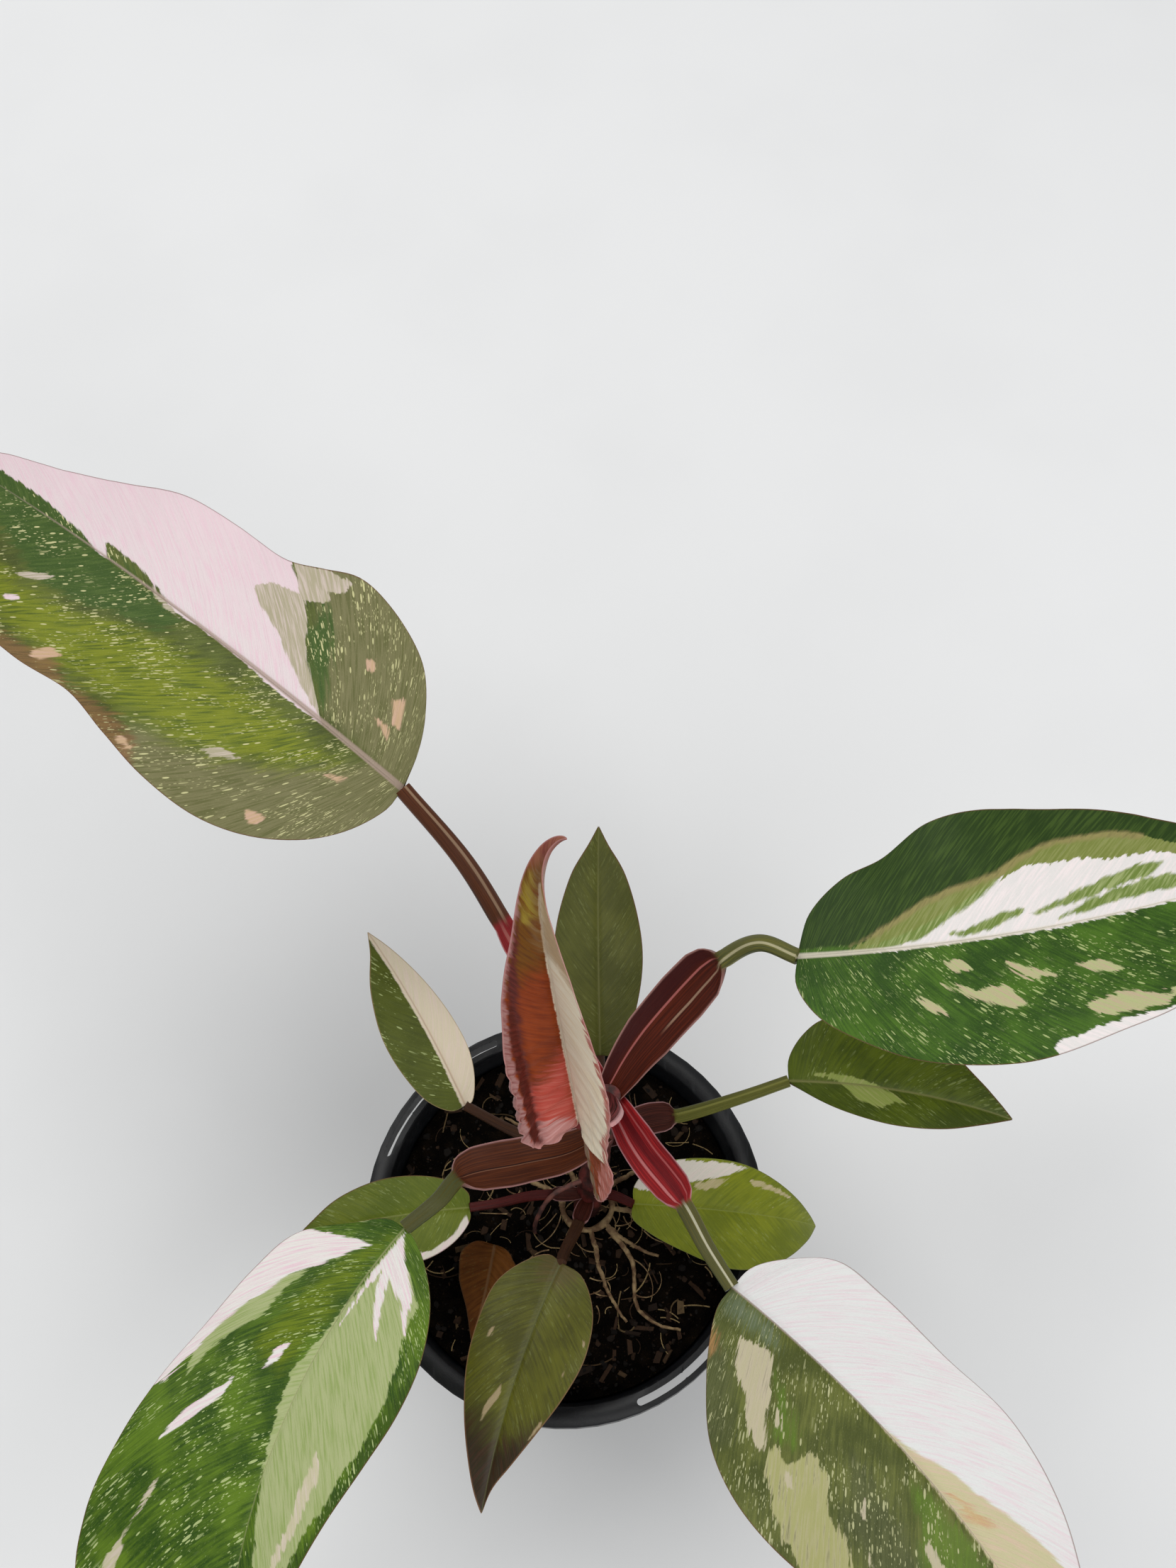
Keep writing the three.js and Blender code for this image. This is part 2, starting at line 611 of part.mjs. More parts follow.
// Petioles, each with the open sheath that clasps the stem.
function makePetiole(petiole, extra = 0) {
  const { path, radius, sheathUntil, sheathHalfWidth, rise } = petiole;
  const curve = new THREE.CatmullRomCurve3(path.map(vector), false, 'centripetal');
  const length = curve.getLength();
  const endShare = 1 - Math.max(1.5 * CLEARANCE - extra, 0) / length;
  const stations = SHEATH_STATIONS.map(([share, width, sheath]) => ({
    share: share * sheathUntil,
    halfWidth: Math.max(width * sheathHalfWidth, radius),
    sheath,
  }));
  for (const share of STALK_STATIONS) {
    stations.push({
      share: sheathUntil + (endShare - sheathUntil) * share,
      halfWidth: radius * (1 - (1 - PETIOLE.end) * smoothstep(share)),
      sheath: 0,
    });
  }
  const faces = vector(petiole.faces ?? [0, 0, 1]);
  const top = [];
  const bottom = [];
  for (const { share, halfWidth, sheath } of stations) {
    const tangent = curve.getTangentAt(share);
    const centre = curve.getPointAt(share);
    if (share === 0) {
      centre.addScaledVector(tangent, -2 * extra);
    }
    const side = faces.clone().cross(tangent).normalize();
    const normal = tangent.clone().cross(side);
    const upper = [];
    const lower = [];
    for (let j = 0; j <= PETIOLE.columns; j += 1) {
      const across = -Math.cos((Math.PI * j) / PETIOLE.columns);
      const bulge = Math.sqrt(Math.max(1 - across * across, 0));
      const channel = sheath * rise * Math.abs(across) ** PETIOLE.lipCurve;
      const lift = channel + (1 - sheath) * PETIOLE.crown * radius * bulge;
      const keel = THREE.MathUtils.lerp(PETIOLE.keel, PETIOLE.sheathKeel, sheath) + PETIOLE.crown;
      const depth = PETIOLE.edge + (radius * keel - PETIOLE.edge) * bulge;
      const reach = (halfWidth + extra) * across;
      upper.push(centre.clone().addScaledVector(side, reach).addScaledVector(normal, lift + extra));
      lower.push(
        centre.clone().addScaledVector(side, reach).addScaledVector(normal, lift - depth - extra),
      );
    }
    top.push(upper);
    bottom.push(lower);
  }
  return toSolid(slab(top, bottom));
}

// The stem and the roots.
function makeStem(extra = 0) {
  const length = new THREE.CatmullRomCurve3(STEM.path.map(vector)).getLength();
  const radiusAt = (share) => {
    const nodes = 0.5 + 0.5 * Math.cos((2 * Math.PI * share * length) / STEM.nodeSpacing);
    return THREE.MathUtils.lerp(STEM.footRadius, STEM.topRadius, share) + STEM.nodeSwell * nodes ** 4;
  };
  return toSolid(rod(STEM.path, radiusAt, 24, 12, extra));
}

function makeAerialRoot(extra = 0) {
  const radiusAt = (share) => AERIAL_ROOT.radius * (1 - 0.3 * share);
  return toSolid(rod(AERIAL_ROOT.path, radiusAt, 14, 6, extra));
}

/** Roots that leave a collar at the foot of the stem and run over the soil. */
function makeGroundRoots(stemBore) {
  const { collarRadius, radius, count, firstHeading, spread, bend, wander } = GROUND_ROOTS;
  const random = randomFrom(GROUND_ROOTS.seed);
  const eitherWay = (size) => size * (2 * random() - 1);
  const [footX, footY] = STEM.path[1];
  const restOn = (x, y) => soilHeight(x, y) + radius + CLEARANCE + GROUND_ROOTS.lift;
  const collar = new THREE.TorusGeometry(collarRadius, radius * 1.3, 5, 18);
  collar.translate(footX, footY, restOn(footX, footY) + GROUND_ROOTS.lift);
  let roots = toSolid(collar);
  const paths = [GROUND_ROOTS.longRoot.map(([x, y]) => [x, y, restOn(x, y)])];
  for (let k = 0; k < count; k += 1) {
    const length = THREE.MathUtils.lerp(GROUND_ROOTS.shortest, GROUND_ROOTS.longest, random());
    const turn = eitherWay(bend);
    let heading = firstHeading + (spread * k) / count + eitherWay(wander);
    let x = footX + collarRadius * Math.cos(radians(heading));
    let y = footY + collarRadius * Math.sin(radians(heading));
    const path = [];
    const pieces = 5;
    for (let i = 0; i <= pieces; i += 1) {
      path.push([x, y, restOn(x, y) + (i === 0 ? GROUND_ROOTS.lift : 0)]);
      heading += turn / pieces + eitherWay(wander);
      x += (length / pieces) * Math.cos(radians(heading));
      y += (length / pieces) * Math.sin(radians(heading));
    }
    paths.push(path);
  }
  for (const path of paths) {
    roots = roots.add(toSolid(rod(path, (share) => radius * (1 - 0.4 * share), 2 * path.length - 2, 4)));
  }
  return roots.subtract(stemBore);
}

// Assembly.
const plant = new THREE.Group();

function place(name, solid, [color, roughness]) {
  const material = new THREE.MeshStandardMaterial({ color, roughness, metalness: 0 });
  const mesh = new THREE.Mesh(toGeometry(solid), material);
  mesh.name = name;
  plant.add(mesh);
}

const stemBore = makeStem(CLEARANCE);
const rootBore = makeAerialRoot(CLEARANCE);
place('pot', makePot(), FINISH.pot);
place('soil', largest(makeSoil().subtract(stemBore).subtract(rootBore)), FINISH.soil);
place('stem', makeStem(), FINISH.stem);

const leafNamed = Object.fromEntries(LEAVES.map((leaf) => [leaf.name, leaf]));
const taken = [stemBore];
for (const name of PETIOLE_ORDER) {
  const { petiole } = leafNamed[name];
  const clear = taken.reduce((solid, other) => solid.subtract(other), makePetiole(petiole));
  place(`petiole_${name}`, largest(clear), petiole.finish);
  taken.push(makePetiole(petiole, PETIOLE.bore));
}
for (const leaf of LEAVES) {
  const bore = makePetiole(leaf.petiole, CLEARANCE);
  place(`blade_${leaf.name}`, largest(makeBlade(leaf).subtract(bore)), leaf.finish);
}
place('leaf_dead', makeBlade(DEAD_LEAF), DEAD_LEAF.finish);
const aerialRoot = taken.reduce((solid, other) => solid.subtract(other), makeAerialRoot());
place('root_aerial', largest(aerialRoot), FINISH.aerialRoot);
place('roots_ground', largest(makeGroundRoots(stemBore).subtract(rootBore)), FINISH.root);

export default plant;
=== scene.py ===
"""A variegated red philodendron in its nursery pot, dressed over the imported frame.

Sizes in the classes are millimetres, in the frame of the solids, and meshes are made in metres.
A blade is described flat: `along` runs down its midrib and `out` away from it, positive to its left.
"""

import logging
import math
from dataclasses import dataclass, field
from enum import Enum
from typing import Any, Sequence

import bmesh
import bpy
import numpy as np
from mathutils import Matrix, Vector


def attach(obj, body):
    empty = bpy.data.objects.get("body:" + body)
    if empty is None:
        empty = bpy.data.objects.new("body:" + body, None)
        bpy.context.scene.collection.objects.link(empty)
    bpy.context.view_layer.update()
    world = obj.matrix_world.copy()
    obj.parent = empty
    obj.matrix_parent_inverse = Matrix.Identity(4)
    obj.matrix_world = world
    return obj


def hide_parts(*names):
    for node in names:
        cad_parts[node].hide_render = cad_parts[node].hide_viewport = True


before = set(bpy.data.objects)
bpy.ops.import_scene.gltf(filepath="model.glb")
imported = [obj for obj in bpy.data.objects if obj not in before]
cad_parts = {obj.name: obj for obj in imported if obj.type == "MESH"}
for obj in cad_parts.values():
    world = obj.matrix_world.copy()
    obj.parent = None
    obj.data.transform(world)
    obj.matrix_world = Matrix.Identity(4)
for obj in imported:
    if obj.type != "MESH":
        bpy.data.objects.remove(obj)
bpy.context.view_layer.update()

log = logging.getLogger("philodendron")

MM = 0.001
Colour = tuple[float, float, float]
Points = Sequence[Sequence[float]]


class Slot(Enum):
    """The material slots of the record, one name each."""

    POT = "pot"
    SOIL = "soil"
    STEM = "stem"
    OLIVE_STALK = "petiole_olive"
    RED_STALK = "petiole_red"
    LEAF = "leaf_variegated"
    YOUNG_LEAF = "leaf_young"
    DRY_LEAF = "leaf_dry"
    ROOT = "root"


# Shader maths.
class Link:
    """A shader socket that takes part in arithmetic."""

    def __init__(self, recipe: "Recipe", socket: bpy.types.NodeSocket) -> None:
        """Wraps a socket of a recipe's tree.

        Args:
            recipe: the recipe that the socket belongs to.
            socket: the socket.
        """
        self.recipe = recipe
        self.socket = socket

    def _math(self, operation: str, first: Any, second: Any) -> "Link":
        """Joins two operands by a Math node, or by Vector Math where this is a vector.

        Args:
            operation: the node's operation.
            first: a link or a value.
            second: a link or a value.

        Returns:
            The result's link.
        """
        vector = self.socket.type == "VECTOR"
        kind = "ShaderNodeVectorMath" if vector else "ShaderNodeMath"
        return self.recipe.node(kind, {"operation": operation}, {0: first, 1: second})

    def __add__(self, other: Any) -> "Link":
        """Adds.

        Args:
            other: a link or a value.

        Returns:
            The sum's link.
        """
        return self._math("ADD", self, other)

    def __radd__(self, other: Any) -> "Link":
        """Adds, from the right.

        Args:
            other: a value.

        Returns:
            The sum's link.
        """
        return self._math("ADD", other, self)

    def __sub__(self, other: Any) -> "Link":
        """Subtracts.

        Args:
            other: a link or a value to take away.

        Returns:
            The difference's link.
        """
        return self._math("SUBTRACT", self, other)

    def __rsub__(self, other: Any) -> "Link":
        """Subtracts this from a value.

        Args:
            other: the value.

        Returns:
            The difference's link.
        """
        return self._math("SUBTRACT", other, self)

    def __mul__(self, other: Any) -> "Link":
        """Multiplies.

        Args:
            other: a link or a value.

        Returns:
            The product's link.
        """
        return self._math("MULTIPLY", self, other)

    def __rmul__(self, other: Any) -> "Link":
        """Multiplies, from the right.

        Args:
            other: a value.

        Returns:
            The product's link.
        """
        return self._math("MULTIPLY", other, self)

    def __abs__(self) -> "Link":
        """Drops the sign.

        Returns:
            The size's link.
        """
        return self.recipe.node("ShaderNodeMath", {"operation": "ABSOLUTE"}, {0: self})

    def most(self, other: Any) -> "Link":
        """Takes the larger of this and another.

        Args:
            other: a link or a value.

        Returns:
            The larger one's link.
        """
        return self._math("MAXIMUM", self, other)


class Recipe:
    """The node tree of one material."""

    def __init__(self, name: str) -> None:
        """Starts an empty tree for a new material.

        Args:
            name: the material's name.
        """
        self.material = bpy.data.materials.new(name)
        self.material.use_nodes = True
        self.tree = self.material.node_tree
        self.tree.nodes.clear()

    def node(
        self,
        kind: str,
        settings: dict[str, Any] | None = None,
        sockets: dict[int | str, Any] | None = None,
        out: int | str = 0,
    ) -> Link:
        """Adds a node.

        Args:
            kind: the node's type.
            settings: its properties, set first.
            sockets: the values or links of its inputs.
            out: the output to return.

        Returns:
            The link of that output.
        """
        node = self.tree.nodes.new(kind)
        for key, value in (settings or {}).items():
            setattr(node, key, value)
        for key, value in (sockets or {}).items():
            socket = node.inputs[key]
            if isinstance(value, Link):
                self.tree.links.new(value.socket, socket)
            elif socket.type == "RGBA":
                socket.default_value = (*value[:3], 1.0)
            else:
                socket.default_value = value
        return Link(self, node.outputs[out]) if node.outputs else Link(self, node.inputs[0])

    def uv(self, name: str) -> Link:
        """Reads a UV map.

        Args:
            name: the map's name.

        Returns:
            The map's coordinates, as a vector.
        """
        return self.node("ShaderNodeUVMap", {"uv_map": name})

    def amount(self, name: str) -> Link:
        """Reads a number stored on the mesh's points.

        Args:
            name: the attribute's name.

        Returns:
            The number.
        """
        return self.node("ShaderNodeAttribute", {"attribute_name": name}, out="Fac")

    def place(self) -> Link:
        """Reads the position in the object.

        Returns:
            The position, in metres.
        """
        return self.node("ShaderNodeTexCoord", out="Object")

    def part(self, vector: Link, axis: str) -> Link:
        """Takes one of a vector's numbers.

        Args:
            vector: the vector.
            axis: X, Y or Z.

        Returns:
            The number.
        """
        return self.node("ShaderNodeSeparateXYZ", sockets={0: vector}, out=axis)

    def noise(self, where: Link, stretch: Sequence[float], detail: float = 2.0) -> Link:
        """Soft noise from 0 to 1.

        Args:
            where: the coordinates.
            stretch: how many grains there are to a unit along each of them.
            detail: how many finer layers it has.

        Returns:
            The noise's link.
        """
        sockets = {"Vector": where * tuple(stretch), "Scale": 1.0, "Detail": detail}
        return self.node("ShaderNodeTexNoise", sockets=sockets)

    def spots(self, where: Link, stretch: Sequence[float], size: float, soft: float) -> Link:
        """Scattered spots of random sizes.

        Args:
            where: the coordinates.
            stretch: how many cells there are to a unit along each of them.
            size: the largest spot's radius, in cells.
            soft: how far a spot's edge is blurred, in cells.

        Returns:
            A mask that is 1 inside the spots.
        """
        cells = self.node(
            "ShaderNodeTexVoronoi",
            {"voronoi_dimensions": "2D"},
            {"Vector": where * tuple(stretch), "Scale": 1.0},
        )
        tint = Link(self, cells.socket.node.outputs["Color"])
        chance = self.part(tint, "X")
        return self.smooth(chance * size - cells, 0.0, soft)

    def cells(self, where: Link, stretch: Sequence[float]) -> Link:
        """Random steps from 0 to 1 that are even inside each cell.

        Args:
            where: the coordinates.
            stretch: how many cells there are to a unit along each of them.

        Returns:
            The steps' link.
        """
        cells = self.node(
            "ShaderNodeTexVoronoi",
            {"voronoi_dimensions": "2D"},
            {"Vector": where * tuple(stretch), "Scale": 1.0},
            out="Color",
        )
        return self.part(cells, "Y")

    def smooth(self, value: Link, low: float, high: float) -> Link:
        """Makes a smooth step from 0 to 1.

        Args:
            value: what the step follows.
            low: where it is 0.
            high: where it is 1.

        Returns:
            The step.
        """
        sockets = {"Value": value, "From Min": low, "From Max": high}
        return self.node("ShaderNodeMapRange", {"interpolation_type": "SMOOTHSTEP"}, sockets)

    def mix(self, share: Any, first: Any, second: Any) -> Link:
        """Mixes two colours.

        Args:
            share: how much of the second colour there is.
            first: a colour or a link.
            second: a colour or a link.

        Returns:
            The mixed colour's link.
        """
        settings = {"data_type": "RGBA", "clamp_factor": True}
        return self.node("ShaderNodeMix", settings, {0: share, 6: first, 7: second}, out=2)

    def bump(self, height: Link, depth: float, strength: float = 1.0) -> Link:
        """A normal bent by a height map.

        Args:
            height: heights from 0 to 1.
            depth: the height at 1, in millimetres.
            strength: how much of the bump is used.

        Returns:
            The normal's link.
        """
        sockets = {"Height": height, "Distance": depth * MM, "Strength": strength}
        return self.node("ShaderNodeBump", sockets=sockets)

    def finish(self, sockets: dict[int | str, Any]) -> bpy.types.Material:
        """Feeds the surface shader and returns the material.

        Args:
            sockets: the values or links of the shader's inputs.

        Returns:
            The finished material.
        """
        shader = self.node("ShaderNodeBsdfPrincipled", sockets=sockets)
        self.node("ShaderNodeOutputMaterial", sockets={"Surface": shader})
        return self.material


# Curves, noise and meshes.
def spline(points: Points, shares: Sequence[float], detail: int = 400) -> np.ndarray:
    """A centripetal Catmull-Rom curve through points, sampled by share of its length.

    Args:
        points: the points it goes through.
        shares: where to sample it, from 0 to 1.
        detail: how many steps its length is measured in.

    Returns:
        One sampled point to a row.
    """
    given = np.array(points, float)
    last = len(given) - 2
    ends = np.vstack([2 * given[0] - given[1], given, 2 * given[-1] - given[-2]])
    line = []
    for place in np.linspace(0, last + 1, detail + 1):
        k = min(int(place), last)
        t = place - k
        a, b, c, d = ends[k : k + 4]
        gaps = [max(float(np.sum((q - p) ** 2)) ** 0.25, 1e-4) for p, q in ((a, b), (b, c), (c, d))]
        start = (b - a) / gaps[0] - (c - a) / (gaps[0] + gaps[1]) + (c - b) / gaps[1]
        end = (c - b) / gaps[1] - (d - b) / (gaps[1] + gaps[2]) + (d - c) / gaps[2]
        start, end = start * gaps[1], end * gaps[1]
        line.append(
            b + start * t + (3 * (c - b) - 2 * start - end) * t**2 + (2 * (b - c) + start + end) * t**3
        )
    track = np.array(line)
    length = np.concatenate([[0], np.cumsum(np.linalg.norm(np.diff(track, axis=0), axis=1))])
    wanted = np.asarray(shares, float) * length[-1]
    return np.stack([np.interp(wanted, length, track[:, k]) for k in range(track.shape[1])], -1)


def unit(vector: np.ndarray) -> np.ndarray:
    """Scales vectors to a length of 1.

    Args:
        vector: one vector, or rows of them.

    Returns:
        The unit vectors.
    """
    return vector / np.maximum(np.linalg.norm(vector, axis=-1, keepdims=True), 1e-12)


# Soft noise repeats after this many lumps, and starts this far out, so that none is negative.
NOISE_LUMPS = 64
NOISE_START = 4096


def lumps(x: np.ndarray, y: np.ndarray, cell: float, seed: int) -> np.ndarray:
    """Smooth seeded noise from -1 to 1 over a plane.

    Args:
        x: first coordinates.
        y: second coordinates.
        cell: the size of a lump.
        seed: the seed.

    Returns:
        The noise at each point.
    """
    table = np.random.default_rng(seed).uniform(-1, 1, (NOISE_LUMPS, NOISE_LUMPS))
    u, v = x / cell + NOISE_START, y / cell + NOISE_START
    i, j = np.floor(u).astype(int), np.floor(v).astype(int)
    s, t = u - i, v - j
    s, t = s * s * (3 - 2 * s), t * t * (3 - 2 * t)
    right, above = (i + 1) % NOISE_LUMPS, (j + 1) % NOISE_LUMPS
    left, below = i % NOISE_LUMPS, j % NOISE_LUMPS
    low = table[left, below] * (1 - s) + table[right, below] * s
    high = table[left, above] * (1 - s) + table[right, above] * s
    return low * (1 - t) + high * t


def depth_inside(outline: Points, x: np.ndarray, y: np.ndarray) -> np.ndarray:
    """How far points lie inside an outline, negative outside.

    Args:
        outline: its corners, in order.
        x: first coordinates.
        y: second coordinates.

    Returns:
        The depth of each point.
    """
    corners = np.array(outline, float)
    nearest = np.full(x.shape, np.inf)
    inside = np.zeros(x.shape, bool)
    for (ax, ay), (bx, by) in zip(corners, np.roll(corners, -1, axis=0)):
        dx, dy = bx - ax, by - ay
        t = np.clip(((x - ax) * dx + (y - ay) * dy) / max(dx * dx + dy * dy, 1e-9), 0, 1)
        nearest = np.minimum(nearest, np.hypot(x - ax - t * dx, y - ay - t * dy))
        crosses = (ay > y) != (by > y)
        with np.errstate(divide="ignore", invalid="ignore"):
            inside ^= crosses & (x < dx * (y - ay) / (by - ay if by != ay else 1e-9) + ax)
    return np.where(inside, nearest, -nearest)


def grid_faces(rows: int, columns: int, start: int = 0, ring: bool = False) -> np.ndarray:
    """The faces of a grid of points that are numbered row by row.

    Args:
        rows: how many rows of points there are.
        columns: how many points there are to a row.
        start: the first point's number.
        ring: whether each row closes on itself.

    Returns:
        Four point numbers to a face.
    """
    i = np.arange(rows - 1)[:, None]
    j = np.arange(columns if ring else columns - 1)[None, :]
    a = start + i * columns + j
    b = start + i * columns + (j + 1) % columns
    return np.stack([a, b, b + columns, a + columns], -1).reshape(-1, 4)


def mesh_object(
    name: str,
    points: np.ndarray,
    faces: Sequence[Sequence[int]],
    maps: dict[str, np.ndarray] | None = None,
    amounts: dict[str, np.ndarray] | None = None,
    crease: float = 55.0,
) -> bpy.types.Object:
    """Makes a smooth mesh object.

    Args:
        name: the object's name.
        points: its points, in millimetres.
        faces: the point numbers of each face.
        maps: UV maps, two numbers to a point.
        amounts: numbers to store on the points.
        crease: edges sharper than this stay sharp, in degrees.

    Returns:
        The new object, linked to the scene.
    """
    mesh = bpy.data.meshes.new(name)
    mesh.from_pydata((np.asarray(points) * MM).tolist(), [], [list(map(int, f)) for f in faces])
    mesh.update()
    corners = np.zeros(len(mesh.loops), int)
    mesh.loops.foreach_get("vertex_index", corners)
    for key, values in (maps or {}).items():
        layer = mesh.uv_layers.new(name=key)
        layer.data.foreach_set("uv", np.asarray(values, np.float32)[corners].ravel())
    for key, values in (amounts or {}).items():
        layer = mesh.attributes.new(key, "FLOAT", "POINT")
        layer.data.foreach_set("value", np.asarray(values, np.float32).ravel())
    mesh.shade_smooth()
    mesh.set_sharp_from_angle(angle=math.radians(crease))
    item = bpy.data.objects.new(name, mesh)
    bpy.context.scene.collection.objects.link(item)
    return item


def shell(top: np.ndarray, bottom: np.ndarray) -> tuple[np.ndarray, np.ndarray]:
    """A closed sheet between two grids of points.

    Args:
        top: the upper grid, rows by columns by 3.
        bottom: the lower grid.

    Returns:
        The points, and four point numbers to a face.
    """
    rows, columns = top.shape[:2]
    count = rows * columns
    upper = grid_faces(rows, columns)[:, ::-1]
    lower = grid_faces(rows, columns, count)
    rim = list(range(columns))
    rim += [i * columns + columns - 1 for i in range(1, rows)]
    rim += [(rows - 1) * columns + j for j in range(columns - 2, -1, -1)]
    rim += [i * columns for i in range(rows - 2, 0, -1)]
    edge = np.array(rim)
    following = np.roll(edge, -1)
    side = np.stack([edge, following, following + count, edge + count], -1)
    points = np.concatenate([top.reshape(-1, 3), bottom.reshape(-1, 3)])
    return points, np.concatenate([upper, lower, side])


def tube(path: np.ndarray, radii: np.ndarray, sides: int) -> tuple[np.ndarray, list[list[int]]]:
    """A closed round tube along a path.

    Args:
        path: the points of its middle.
        radii: its radius at each of them.
        sides: how many sides it has.

    Returns:
        The points and the faces.
    """
    ahead = unit(np.gradient(path, axis=0))
    side = unit(np.cross([0.0, 1.0, 0.001], ahead))
    other = np.cross(ahead, side)
    angles = 2 * np.pi * np.arange(sides) / sides
    ring = side[:, None] * np.cos(angles)[None, :, None] + other[:, None] * np.sin(angles)[None, :, None]
    points = (path[:, None] + ring * np.asarray(radii)[:, None, None]).reshape(-1, 3)
    faces = grid_faces(len(path), sides, ring=True).tolist()
    faces.append(list(range(sides))[::-1])
    faces.append([len(points) - sides + k for k in range(sides)])
    return points, faces


def twice(values: np.ndarray) -> np.ndarray:
    """Repeats a grid's numbers, for the upper and the lower face of a shell.

    Args:
        values: one number to a point of the grid.

    Returns:
        One number to a point of both faces.
    """
    return np.concatenate([values.ravel(), values.ravel()])


class Heap:
    """Many small closed forms, gathered into one mesh."""

    def __init__(self) -> None:
        """Starts empty."""
        self.points: list[np.ndarray] = []
        self.faces: list[list[int]] = []
        self.tints: list[np.ndarray] = []
        self.count = 0

    def add(self, points: np.ndarray, faces: Sequence[Sequence[int]], tint: float) -> None:
        """Adds a form.

        Args:
            points: its points, in millimetres.
            faces: the point numbers of its faces.
            tint: a number for its colour, stored on its points.
        """
        self.faces += [[int(k) + self.count for k in face] for face in faces]
        self.points.append(np.asarray(points, float))
        self.tints.append(np.full(len(points), tint))
        self.count += len(points)

    def made(self, name: str, crease: float = 40.0) -> bpy.types.Object:
        """Makes the object.

        Args:
            name: its name.
            crease: edges sharper than this stay sharp, in degrees.

        Returns:
            The new object.
        """
        amounts = {"tint": np.concatenate(self.tints)}
        return mesh_object(name, np.concatenate(self.points), self.faces, amounts=amounts, crease=crease)


def settle(item: bpy.types.Object, slot: Slot, *nodes: str) -> bpy.types.Object:
    """Lets a piece ride on the plant's one body and stand for solids.

    Args:
        item: the piece.
        slot: a material slot of the record; not used.
        nodes: the solids that it stands for.

    Returns:
        The piece.
    """
    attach(item, "root")
    if nodes:
        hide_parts(*nodes)
    log.info("%s: %d faces", item.name, len(item.data.polygons))
    return item


# Leaf blades.
@dataclass(frozen=True)
class Half:
    """One half of a blade: its margin, and how its section bends.

    Attributes:
        margin: along and out of points of the margin, from the base to the tip.
        fold: the section's angle at the midrib, in degrees.
        curl: how much it turns by the half width, in degrees.
        furl: how much more it turns close to the margin, in degrees.
    """

    margin: Points
    fold: float = 6.0
    curl: float = -14.0
    furl: float = 0.0


@dataclass(frozen=True)
class Coat:
    """A marking of one colour on a blade, outlined flat; a few coats paint shade, a sheen or a highlight
    instead.

    Attributes:
        name: its name, which its depths are stored under.
        colour: its colour.
        tint: the colour of its streaks.
        outlines: the corners of its patches, along and out.
        edge: how soft its edge is, in millimetres.
        ragged: how far its edge strays.
        cover: how much of the ground it hides.
        flecked: whether pale flecks lie over it.
        blush: how far it turns to its tint by the margin.
        mottle: how much the ground shows in streaks.
    """

    name: str
    colour: Colour
    tint: Colour
    outlines: tuple[Points, ...]
    edge: float = 0.25
    ragged: float = 1.0
    cover: float = 1.0
    flecked: bool = False
    blush: float = 0.0
    mottle: float = 0.0


